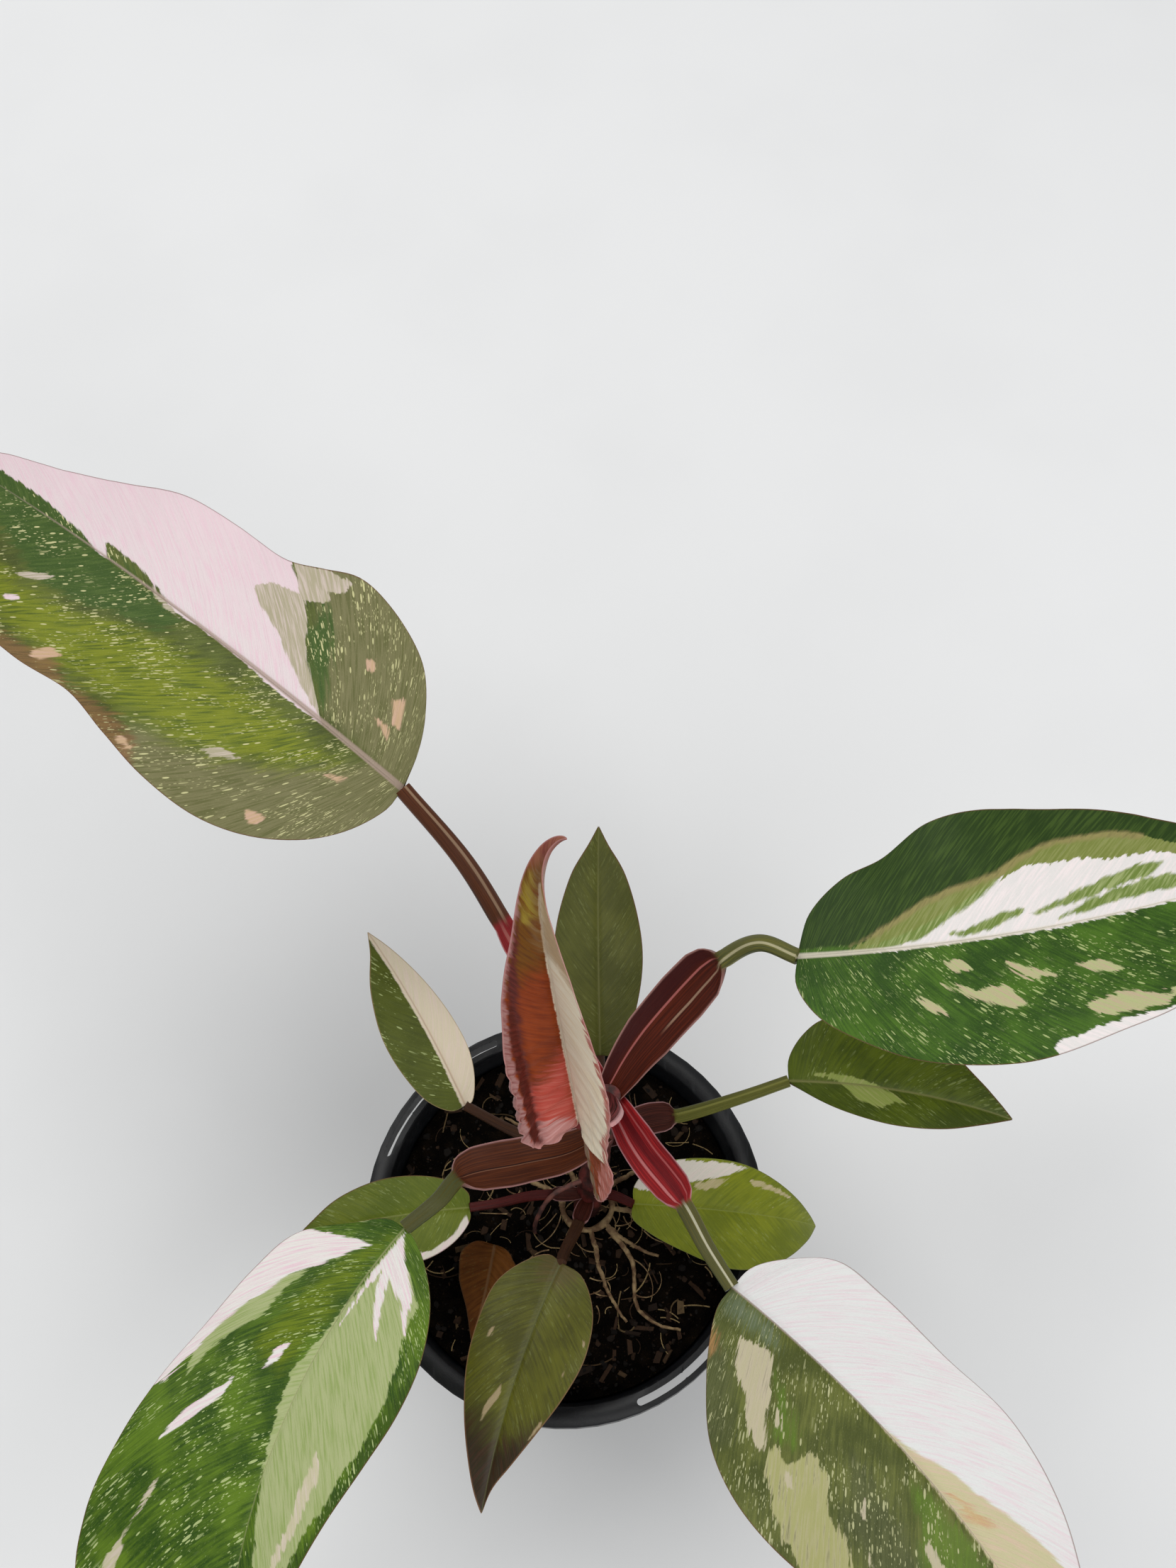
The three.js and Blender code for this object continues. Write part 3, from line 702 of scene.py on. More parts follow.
@dataclass(frozen=True)
class Skin:
    """The finish of a blade, its markings apart.

    Attributes:
        green: the light ground colour.
        deep: the dark ground colour.
        fleck: the colour of the flecks.
        flecks: how strong they are.
        rib: the midrib's colour.
        rib_width: half the midrib's width at the base, in millimetres.
        hem: the colour of the thin margin.
        under: the colour that dulls the lower face.
        roughness: how rough it is.
        coat: how waxy it is.
    """

    green: Colour = (0.05, 0.125, 0.014)
    deep: Colour = (0.018, 0.052, 0.008)
    fleck: Colour = (0.36, 0.42, 0.17)
    flecks: float = 0.9
    rib: Colour = (0.42, 0.36, 0.28)
    rib_width: float = 1.1
    hem: Colour = (0.12, 0.045, 0.025)
    under: Colour = (0.14, 0.1, 0.045)
    roughness: float = 0.42
    coat: float = 0.03

    def fleck_mask(self, recipe: Recipe, vein: Link) -> Link:
        """The pale dashes that lie along the side veins.

        Args:
            recipe: the material's recipe.
            vein: the coordinates across and along the side veins.

        Returns:
            A mask of the dashes.
        """
        fine = recipe.spots(vein, (1.25, 0.45, 0), 0.25, 0.07)
        long = recipe.spots(vein + (31.0, 17.0, 0.0), (0.65, 0.16, 0), 0.27, 0.05)
        broad = recipe.spots(vein + (87.0, 5.0, 0.0), (0.3, 0.11, 0), 0.12, 0.03)
        patchy = recipe.smooth(recipe.noise(vein, (0.1, 0.06, 0), 2.0), 0.45, 0.6)
        speck = recipe.smooth(recipe.noise(vein, (4.2, 1.5, 0), 1.0), 0.64, 0.76) * 0.22
        return (fine.most(long) * patchy).most(broad).most(speck) * self.flecks

    def laid(self, recipe: Recipe, colour: Link, coat: Coat, stray: Link, streak: Link) -> Link:
        """Lays a marking over a colour.

        Args:
            recipe: the material's recipe.
            colour: the colour so far.
            coat: the marking.
            stray: how far its edge strays, in millimetres.
            streak: noise that runs along the side veins.

        Returns:
            The new colour.
        """
        inside = recipe.amount(coat.name) + stray * coat.ragged
        mask = recipe.smooth(inside, -coat.edge, coat.edge) * coat.cover
        mask = mask * (1.0 - recipe.smooth(streak, 0.56, 0.7) * coat.mottle)
        own = recipe.mix(recipe.smooth(streak, 0.42, 0.66), coat.colour, coat.tint)
        own = recipe.mix(recipe.amount("out_share") * coat.blush, own, coat.tint)
        return recipe.mix(mask, colour, own)

    def material(self, name: str, coats: Sequence[Coat]) -> bpy.types.Material:
        """Makes the material of a blade.

        Args:
            name: its name.
            coats: the blade's markings, from the lowest up.

        Returns:
            The material.
        """
        recipe = Recipe(name)
        vein, flat = recipe.uv("vein"), recipe.uv("flat")
        along, out = recipe.part(flat, "X"), recipe.part(flat, "Y")
        streak = recipe.noise(vein, (1.1, 0.1, 0), 4.0)
        grain = recipe.noise(vein, (4.5, 1.3, 0), 2.0)
        cloud = recipe.noise(flat, (0.06, 0.08, 0), 4.0)
        lines = recipe.noise(vein, (1.9, 0.012, 0), 2.0)
        steps = recipe.cells(vein, (0.8, 0.17, 0))
        broad = recipe.noise(vein, (0.3, 0.07, 0), 1.0)
        stray = (streak - 0.5) * 4.0 + (steps - 0.5) * 2.2 + (grain - 0.5) * 1.6 + (broad - 0.5) * 4.0
        depth = recipe.smooth(cloud * 0.55 + streak * 0.45, 0.38, 0.62)
        colour = recipe.mix(depth, self.green, self.deep)
        colour = recipe.mix(recipe.smooth(lines, 0.5, 0.7) * 0.3, colour, self.deep)
        colour = recipe.mix(recipe.smooth(grain, 0.5, 0.75) * 0.35, colour, self.green)
        for coat in coats:
            if coat.flecked:
                colour = self.laid(recipe, colour, coat, stray, streak)
        colour = recipe.mix(self.fleck_mask(recipe, vein), colour, self.fleck)
        for coat in coats:
            if not coat.flecked:
                colour = self.laid(recipe, colour, coat, stray, streak)
        shade = recipe.smooth(lines, 0.5, 0.75) * 0.035 + recipe.smooth(grain, 0.45, 0.8) * 0.06
        colour = recipe.mix(shade, colour, self.deep)
        taper = self.rib_width * (1.0 - along * (0.85 / 160.0))
        rib = 1.0 - recipe.smooth(abs(out) - taper, -0.5, 0.15)
        colour = recipe.mix(rib * 0.85, colour, self.rib)
        hem = 1.0 - recipe.smooth(recipe.amount("hem"), 0.1, 0.55)
        colour = recipe.mix(hem * 0.7, colour, self.hem)
        colour = recipe.mix(recipe.amount("under") * 0.55, colour, self.under)
        height = recipe.smooth(lines, 0.35, 0.7) * 0.5 + grain * 0.5
        rough = self.roughness + (cloud - 0.5) * 0.15 + grain * 0.05
        sockets = {
            "Base Color": colour,
            "Roughness": rough,
            "Specular IOR Level": 0.14,
            "Coat Weight": self.coat,
            "Coat Roughness": 0.3,
            "Normal": recipe.bump(height, 0.08),
        }
        return recipe.finish(sockets)


@dataclass
class Blade:
    """A leaf blade: where it is, how it bends, and what it looks like.

    Attributes:
        name: the name of its solid, unless stands_for gives that.
        base: where the midrib starts.
        heading: the midrib's heading at the base, in degrees.
        sweep: how much the heading turns by the tip, in degrees.
        pitch: the midrib's rise at the base, in degrees.
        droop: how much the rise drops by the tip, in degrees.
        length: the midrib's length.
        half_width: the width of a half that its bends are given for.
        wave: the height, spacing and phase of the margin's waves.
        left: the half on the left.
        right: the half on the right.
        late: how late along the midrib the heading turns.
        skin: the finish.
        coats: the markings, from the lowest up.
        slot: the record's slot.
        stands_for: the name of its solid, where it differs.
        rows: pairs of side veins in the mesh.
        columns: points on each side vein.
        thickness: the blade's thickness.
        rib: the midrib's height below it.
        rib_spread: half the midrib's width below it.
        groove: the depth of the groove over the midrib.
        groove_spread: half that groove's width.
        fan: how close together the side veins start at the base.
        lean: how far they bend towards the tip.
        quilt: the height of the swelling between side veins.
        quilt_spacing: how far apart those swellings are.
        pleat: the size, spacing and end of the pleats near the base.
        pleat_right: the share of that size on the right.
        roll: the height, crease and crest of a rolled margin on the left.
        steps: steps of the midrib.
        samples: steps of the section.
        wave_lag: how far the right margin's waves lag, in radians.
    """

    name: str
    base: tuple[float, float, float]
    heading: float
    sweep: float
    pitch: float
    droop: float
    length: float
    half_width: float
    wave: tuple[float, float, float]
    left: Half
    right: Half
    late: float = 1.0
    skin: Skin = field(default_factory=Skin)
    coats: tuple[Coat, ...] = ()
    slot: Slot = Slot.LEAF
    stands_for: str = ""
    rows: int = 110
    columns: int = 44
    thickness: float = 0.55
    rib: float = 1.1
    rib_spread: float = 2.2
    groove: float = 0.4
    groove_spread: float = 0.9
    fan: float = 2.1
    lean: float = 0.3
    quilt: float = 0.05
    quilt_spacing: float = 6.5
    pleat: tuple[float, float, float] = (0.0, 5.0, 25.0)
    pleat_right: float = 0.3
    roll: tuple[float, float, float] = (0.0, 10.0, 15.0)
    steps: int = 96
    samples: int = 16
    wave_lag: float = 1.3

    def __post_init__(self) -> None:
        """Traces the midrib."""
        ahead = self.directions((np.arange(self.steps) + 0.5) / self.steps)[0]
        line = np.cumsum(ahead * self.length / self.steps, axis=0)
        self.midrib = np.vstack([self.base, np.array(self.base) + line])

    def directions(self, share: np.ndarray) -> tuple[np.ndarray, np.ndarray, np.ndarray]:
        """The directions along the midrib, to its left and up.

        Args:
            share: shares of the midrib's length.

        Returns:
            Three arrays of unit vectors.
        """
        within = np.clip(share, 0, 1)
        turn = np.radians(self.heading + self.sweep * within**self.late)
        rise = np.radians(self.pitch - self.droop * within)
        ahead = np.stack([np.cos(rise) * np.cos(turn), np.cos(rise) * np.sin(turn), np.sin(rise)], -1)
        side = np.stack([-np.sin(turn), np.cos(turn), np.zeros_like(turn)], -1)
        return ahead, side, np.cross(ahead, side)

    def at(self, along: np.ndarray, out: np.ndarray) -> np.ndarray:
        """Points of the bent surface.

        Args:
            along: distances along the midrib.
            out: distances out from it, positive to the left.

        Returns:
            The points, in millimetres.
        """
        share = along / self.length
        place = np.clip(share, 0, 1) * self.steps
        index = np.minimum(place.astype(int), self.steps - 1)
        part = (place - index)[..., None]
        ahead, side, up = self.directions(share)
        points = self.midrib[index] * (1 - part) + self.midrib[index + 1] * part
        points = points + ahead * (np.minimum(along, 0) + np.maximum(along - self.length, 0))[..., None]
        is_left = out > 0
        fold = np.where(is_left, self.left.fold, self.right.fold)
        curl = np.where(is_left, self.left.curl, self.right.curl)
        furl = np.where(is_left, self.left.furl, self.right.furl)
        reach = np.abs(out) / self.half_width
        across, rise = np.zeros_like(reach), np.zeros_like(reach)
        for k in range(self.samples):
            there = (k + 0.5) / self.samples * reach
            angle = np.radians(fold + curl * there + furl * there**6)
            across += np.cos(angle) * np.abs(out) / self.samples
            rise += np.sin(angle) * np.abs(out) / self.samples
        height, spacing, phase = self.wave
        lag = np.where(is_left, 0.0, self.wave_lag)
        rise += height * np.sin(2 * np.pi * along / spacing + math.radians(phase) + lag) * reach**2
        return points + side * (across * np.sign(out))[..., None] + up * rise[..., None]

    def normals(self, along: np.ndarray, out: np.ndarray) -> np.ndarray:
        """Unit vectors that point up from the surface.

        Args:
            along: distances along the midrib.
            out: distances out from it.

        Returns:
            One vector to a point.
        """
        step = 0.4
        forward = self.at(along + step, out) - self.at(along - step, out)
        sideways = self.at(along, out + step) - self.at(along, out - step)
        return unit(np.cross(forward, sideways))

    def layout(self) -> dict[str, np.ndarray]:
        """Flat coordinates of the blade's grid, whose rows run along pairs of side veins.

        Returns:
            Arrays of rows by columns: along, out, reach, arc, vein and hem.
        """
        shares = np.linspace(0.004, 0.996, self.rows + 1)
        steps = np.arange(-self.columns, self.columns + 1) / self.columns
        reach = np.abs(steps) ** 1.25
        origin = (self.length * shares**self.fan)[:, None]
        edges = []
        for half, sign in ((self.right, -1), (self.left, 1)):
            margin = spline([(0, 0), *half.margin, (self.length, 0)], shares)
            edges.append(margin * [1, sign])
        right, left = edges
        end = np.where((steps > 0)[None, :, None], left[:, None], right[:, None])
        along = origin + (end[..., 0] - origin) * ((1 - self.lean) * reach + self.lean * reach**2)
        out = end[..., 1] * reach
        vein = np.hypot(end[..., 0] - origin, end[..., 1])
        arc = shares[:, None] * (1.15 * self.length) * np.ones_like(along)
        arc = arc + np.where(steps > 0, 500.0, 0.0)[None, :]
        spread = reach[None, :] * np.ones_like(along)
        return {
            "along": along,
            "out": out,
            "reach": spread,
            "arc": arc,
            "vein": vein * spread,
            "hem": vein * (1 - spread),
        }

    def relief(self, grid: dict[str, np.ndarray]) -> np.ndarray:
        """Fine heights of the upper face: the midrib's groove, quilting and pleats.

        Args:
            grid: the blade's layout.

        Returns:
            Heights in millimetres.
        """
        left_over = np.clip(1 - grid["along"] / self.length, 0, 1)
        groove = -self.groove * np.exp(-((grid["out"] / self.groove_spread) ** 2)) * np.sqrt(left_over)
        middle = 4 * grid["reach"] * (1 - grid["reach"])
        quilt = self.quilt * np.cos(2 * np.pi * grid["arc"] / self.quilt_spacing) * middle
        small = lumps(grid["along"], grid["out"], 5.0, 3)
        large = lumps(grid["along"], grid["out"], 17.0, 4)
        rough = 0.1 * small + 0.25 * large
        size, spacing, until = self.pleat
        fade = np.clip(1 - grid["along"] / until, 0, 1)
        bend = grid["along"] + 0.35 * np.abs(grid["out"]) + 1.5 * lumps(grid["along"], grid["out"], 6.0, 9)
        size = size * np.where(grid["out"] < 0, self.pleat_right, 1.0)
        pleats = size * np.sin(2 * np.pi * bend / spacing) * np.sqrt(fade) * np.sqrt(grid["reach"])
        height, crease, crest = self.roll
        raised = np.exp(-(((grid["out"] - crest) / 2.3) ** 2))
        sunk = 0.8 * np.exp(-(((grid["out"] - crease) / 1.3) ** 2))
        fade = np.clip(1.6 - grid["along"] / 45, 0, 1)
        rolled = height * (raised - sunk) * fade
        return groove + quilt + rough * np.sqrt(grid["reach"]) + pleats + rolled

    def build(self) -> bpy.types.Object:
        """Makes the blade, dresses it and settles it over its solid.

        Returns:
            The blade.
        """
        grid = self.layout()
        along, out = grid["along"], grid["out"]
        normal = self.normals(along, out)
        top = self.at(along, out) + normal * self.relief(grid)[..., None]
        rib = self.rib * np.exp(-((out / self.rib_spread) ** 2)) * np.clip(1 - along / self.length, 0, 1)
        thin = np.minimum(1, 0.45 + grid["hem"] / 6)
        bottom = top - normal * (self.thickness * thin + rib)[..., None]
        points, faces = shell(top, bottom)
        maps = {
            "vein": np.stack([twice(grid["arc"]), twice(grid["vein"])], -1),
            "flat": np.stack([twice(along), twice(out)], -1),
        }
        under = np.concatenate([np.zeros(along.size), np.ones(along.size)])
        amounts = {"hem": twice(grid["hem"]), "under": under, "out_share": twice(grid["reach"])}
        for coat in self.coats:
            depth = np.max([depth_inside(outline, along, out) for outline in coat.outlines], axis=0)
            amounts[coat.name] = twice(np.clip(depth, -6, 6))
        item = mesh_object(f"{self.name}_dressed", points, faces, maps, amounts)
        item.data.materials.append(self.skin.material(f"{self.name}_skin", self.coats))
        return settle(item, self.slot, self.stands_for or self.name)


# Petioles.
@dataclass(frozen=True)
class Stripe:
    """A stripe along a petiole.

    Attributes:
        centre: where it is across the petiole, from -1 to 1.
        width: how wide it is, on the same measure.
        colour: its colour.
        cover: how much of the ground it hides.
        on_sheath: whether it is on the sheath, or else on the stalk.
        start: where it starts along the petiole, in millimetres.
        stop: where it ends.
    """

    centre: float
    width: float
    colour: Colour
    cover: float = 0.8
    on_sheath: bool = True
    start: float = -20.0
    stop: float = 400.0


@dataclass(frozen=True)
class StalkSkin:
    """The finish of a petiole and its sheath.

    Attributes:
        stalk: the stalk's light colour.
        stalk_deep: its dark colour.
        sheath: the sheath's light colour.
        sheath_deep: its dark colour.
        lip: the colour of the sheath's thin edges.
        stripes: stripes, from the lowest up.
        roughness: how rough it is.
    """

    stalk: Colour = (0.11, 0.12, 0.04)
    stalk_deep: Colour = (0.06, 0.07, 0.025)
    sheath: Colour = (0.085, 0.02, 0.012)
    sheath_deep: Colour = (0.028, 0.006, 0.004)
    lip: Colour = (0.36, 0.19, 0.19)
    stripes: tuple[Stripe, ...] = ()
    roughness: float = 0.36

    def material(self, name: str) -> bpy.types.Material:
        """Makes the material of a petiole.

        Args:
            name: its name.

        Returns:
            The material.
        """
        recipe = Recipe(name)
        course = recipe.uv("course")
        across = recipe.part(course, "Y") * 0.1
        run = recipe.part(course, "X")
        sheath = recipe.amount("sheath")
        streak = recipe.noise(course, (0.05, 1.6, 0), 4.0)
        grain = recipe.noise(course, (0.5, 4.0, 0), 2.0)
        light = recipe.smooth(streak, 0.38, 0.65)
        stalk = recipe.mix(light, self.stalk_deep, self.stalk)
        clasp = recipe.mix(light, self.sheath_deep, self.sheath)
        colour = recipe.mix(recipe.smooth(sheath + (streak - 0.5) * 0.3, 0.15, 0.6), stalk, clasp)
        for stripe in self.stripes:
            away = abs(across - stripe.centre) + (streak - 0.5) * (0.7 * stripe.width)
            mask = 1.0 - recipe.smooth(away, 0.45 * stripe.width, stripe.width)
            where = sheath if stripe.on_sheath else 1.0 - sheath
            where = where * recipe.smooth(run, stripe.start, stripe.start + 8.0)
            where = where * (1.0 - recipe.smooth(run, stripe.stop - 8.0, stripe.stop))
            colour = recipe.mix(mask * where * stripe.cover, colour, stripe.colour)
        lip = recipe.smooth(abs(across) + (streak - 0.5) * 0.06, 0.9, 0.985) * sheath
        colour = recipe.mix(lip * 0.9, colour, self.lip)
        colour = recipe.mix(recipe.smooth(grain, 0.55, 0.8) * 0.25, colour, self.sheath_deep)
        sockets = {
            "Base Color": colour,
            "Roughness": self.roughness + grain * 0.12,
            "Specular IOR Level": 0.16,
            "Coat Weight": 0.04,
            "Coat Roughness": 0.25,
            "Normal": recipe.bump(streak * 0.8 + grain * 0.2, 0.25),
        }
        return recipe.finish(sockets)


# The sheath's stations are its length's share, its width's share and how far its channel is open.
SHEATH_STATIONS = (
    (0, 0.5, 1),
    (0.15, 0.7, 1),
    (0.4, 0.94, 1),
    (0.7, 1, 1),
    (0.88, 0.94, 1),
    (0.96, 0.76, 1),
    (0.99, 0.5, 0.5),
)


@dataclass
class Petiole:
    """A leaf's stalk, with the open sheath that clasps the stem.

    Attributes:
        name: the name of its solid.
        path: points that its middle runs through.
        radius: the stalk's radius.
        sheath_until: the sheath's share of the length.
        sheath_half_width: half the sheath's greatest width.
        rise: how high the sheath's edges stand.
        faces: the direction that the sheath's channel faces.
        skin: the finish.
        slot: the record's slot.
        stations: sections of the mesh.
        columns: points across each face.
        edge: the thickness of the sheath's edges.
        crown: the stalk's height above its middle, as a share of its radius.
        keel: its depth below the middle.
        sheath_keel: that depth under the sheath.
        lip_curve: how late the sheath's edges rise.
        end: the radius at the blade, as a share of the radius.
    """

    name: str
    path: Points
    radius: float
    sheath_until: float
    sheath_half_width: float
    rise: float
    faces: tuple[float, float, float] = (0.0, 0.0, 1.0)
    skin: StalkSkin = field(default_factory=StalkSkin)
    slot: Slot = Slot.OLIVE_STALK
    stations: int = 90
    columns: int = 28
    edge: float = 0.45
    crown: float = 0.55
    keel: float = 0.95
    sheath_keel: float = 0.6
    lip_curve: float = 1.6
    end: float = 0.85

    def build(self) -> bpy.types.Object:
        """Makes the petiole, dresses it and settles it over its solid.

        Returns:
            The petiole.
        """
        shares = np.linspace(0, 1, self.stations)
        centre = spline(self.path, shares)
        length = float(np.sum(np.linalg.norm(np.diff(centre, axis=0), axis=1)))
        ahead = unit(np.gradient(centre, axis=0))
        side = unit(np.cross(np.array(self.faces), ahead))
        up = np.cross(ahead, side)
        knots, widths, openings = np.array(SHEATH_STATIONS, float).T
        own = shares / self.sheath_until
        rest = (shares - self.sheath_until) / (1 - self.sheath_until)
        stalk = self.radius * (1 - (1 - self.end) * np.clip(rest, 0, 1) ** 2 * (3 - 2 * np.clip(rest, 0, 1)))
        clasp = np.maximum(np.interp(own, knots, widths) * self.sheath_half_width, self.radius)
        half = np.where(own < 0.99, clasp, np.maximum(stalk, clasp * np.clip(1 - (own - 0.99) * 30, 0, 1)))
        sheath = np.interp(own, [*knots, 1.04], [*openings, 0])
        across = -np.cos(np.pi * np.arange(self.columns + 1) / self.columns)[None, :]
        bulge = np.sqrt(np.clip(1 - across**2, 0, 1))
        opening = sheath[:, None]
        channel = opening * self.rise * np.abs(across) ** self.lip_curve
        lift = channel + (1 - opening) * self.crown * self.radius * bulge
        keel = self.keel + (self.sheath_keel - self.keel) * opening + self.crown
        edge = self.edge * opening + 0.8 * (1 - opening)
        depth = edge + (self.radius * keel - edge) * bulge
        reach = half[:, None] * across
        grid = centre[:, None] + side[:, None] * reach[..., None]
        top = grid + up[:, None] * lift[..., None]
        bottom = grid + up[:, None] * (lift - depth)[..., None]
        points, faces = shell(top, bottom)
        run = (shares * length)[:, None] * np.ones_like(across)
        course = np.stack([twice(run), 10 * twice(across * np.ones_like(run))], -1)
        amounts = {"sheath": twice(opening * np.ones_like(across))}
        item = mesh_object(f"{self.name}_dressed", points, faces, {"course": course}, amounts, crease=70.0)
        item.data.materials.append(self.skin.material(f"{self.name}_skin"))
        return settle(item, self.slot, self.name)


# The stem and the roots.
@dataclass(frozen=True)
class BarkSkin:
    """The finish of the stem or of a root.

    Attributes:
        light: its light colour.
        dark: the colour of its mottles and rings.
        band: how strong the rings are.
        roughness: how rough it is.
    """

    light: Colour
    dark: Colour
    band: float = 0.0
    roughness: float = 0.5

    def material(self, name: str) -> bpy.types.Material:
        """Makes the material.

        Args:
            name: its name.

        Returns:
            The material.
        """
        recipe = Recipe(name)
        place = recipe.place()
        mottle = recipe.noise(place, (420.0, 420.0, 160.0), 4.0)
        fine = recipe.noise(place, (1900.0, 1900.0, 700.0), 2.0)
        rings = recipe.noise(place, (8.0, 8.0, 520.0), 2.0)
        colour = recipe.mix(recipe.smooth(mottle, 0.35, 0.7), self.dark, self.light)
        colour = recipe.mix(recipe.smooth(rings, 0.6, 0.75) * self.band, colour, self.dark)
        sockets = {
            "Base Color": colour,
            "Roughness": self.roughness + mottle * 0.2,
            "Normal": recipe.bump(mottle * 0.6 + fine * 0.2 + rings * 0.2, 0.35),
        }
        return recipe.finish(sockets)


@dataclass
class Stem:
    """The short stem, swollen and ringed at its nodes.

    Attributes:
        path: points that its middle runs through.
        foot_radius: its radius at the foot.
        top_radius: its radius at the top.
        node_spacing: the distance between nodes.
        node_swell: how far it swells at them.
        node_ring: how deep the ring at a node is.
        skin: the finish.
    """

    path: Points = ((5.5, 0, 62), (6.8, 4, 88), (9.6, 11, 108), (12.6, 18.5, 127), (15.2, 25.5, 145))
    foot_radius: float = 4.6
    top_radius: float = 3.2
    node_spacing: float = 11.0
    node_swell: float = 0.45
    node_ring: float = 0.18
    skin: BarkSkin = BarkSkin((0.14, 0.022, 0.018), (0.03, 0.009, 0.007), 0.7, 0.38)

    def build(self) -> bpy.types.Object:
        """Makes the stem over its solid.

        Returns:
            The stem.
        """
        shares = np.linspace(0, 1, 120)
        line = spline(self.path, shares)
        length = float(np.sum(np.linalg.norm(np.diff(line, axis=0), axis=1)))
        beat = 0.5 + 0.5 * np.cos(2 * np.pi * shares * length / self.node_spacing)
        radii = self.foot_radius + (self.top_radius - self.foot_radius) * shares
        radii = radii + self.node_swell * beat**4 - self.node_ring * beat**30
        points, faces = tube(line, radii, 40)
        item = mesh_object("stem_bark", points, faces)
        item.data.materials.append(self.skin.material("stem_skin"))
        return settle(item, Slot.STEM, "stem")


# The soil's solid: its radius, its height at the wall, and the heights of its mound and clods.
SOIL_RADIUS = 54.0
SOIL_LEVEL = 86.0
SOIL_MOUND = 2.5
SOIL_CLODS = 1.3


def soil_height(x: np.ndarray, y: np.ndarray) -> np.ndarray:
    """The height of the soil's solid, a low mound with clods.

    Args:
        x: first coordinates.
        y: second coordinates.

    Returns:
        Heights in millimetres.
    """
    share = np.minimum(np.hypot(x, y) / SOIL_RADIUS, 1.0)
    clods = (
        np.sin(x * 0.31 + 1.1) * np.sin(y * 0.27 + 0.4)
        + 0.6 * np.sin(x * 0.53 + y * 0.41 + 2)
        + 0.4 * np.sin(x * 0.23 - y * 0.67)
    )
    return SOIL_LEVEL + SOIL_MOUND * (1 - share**2) + SOIL_CLODS * clods * (1 - share**6) / 2


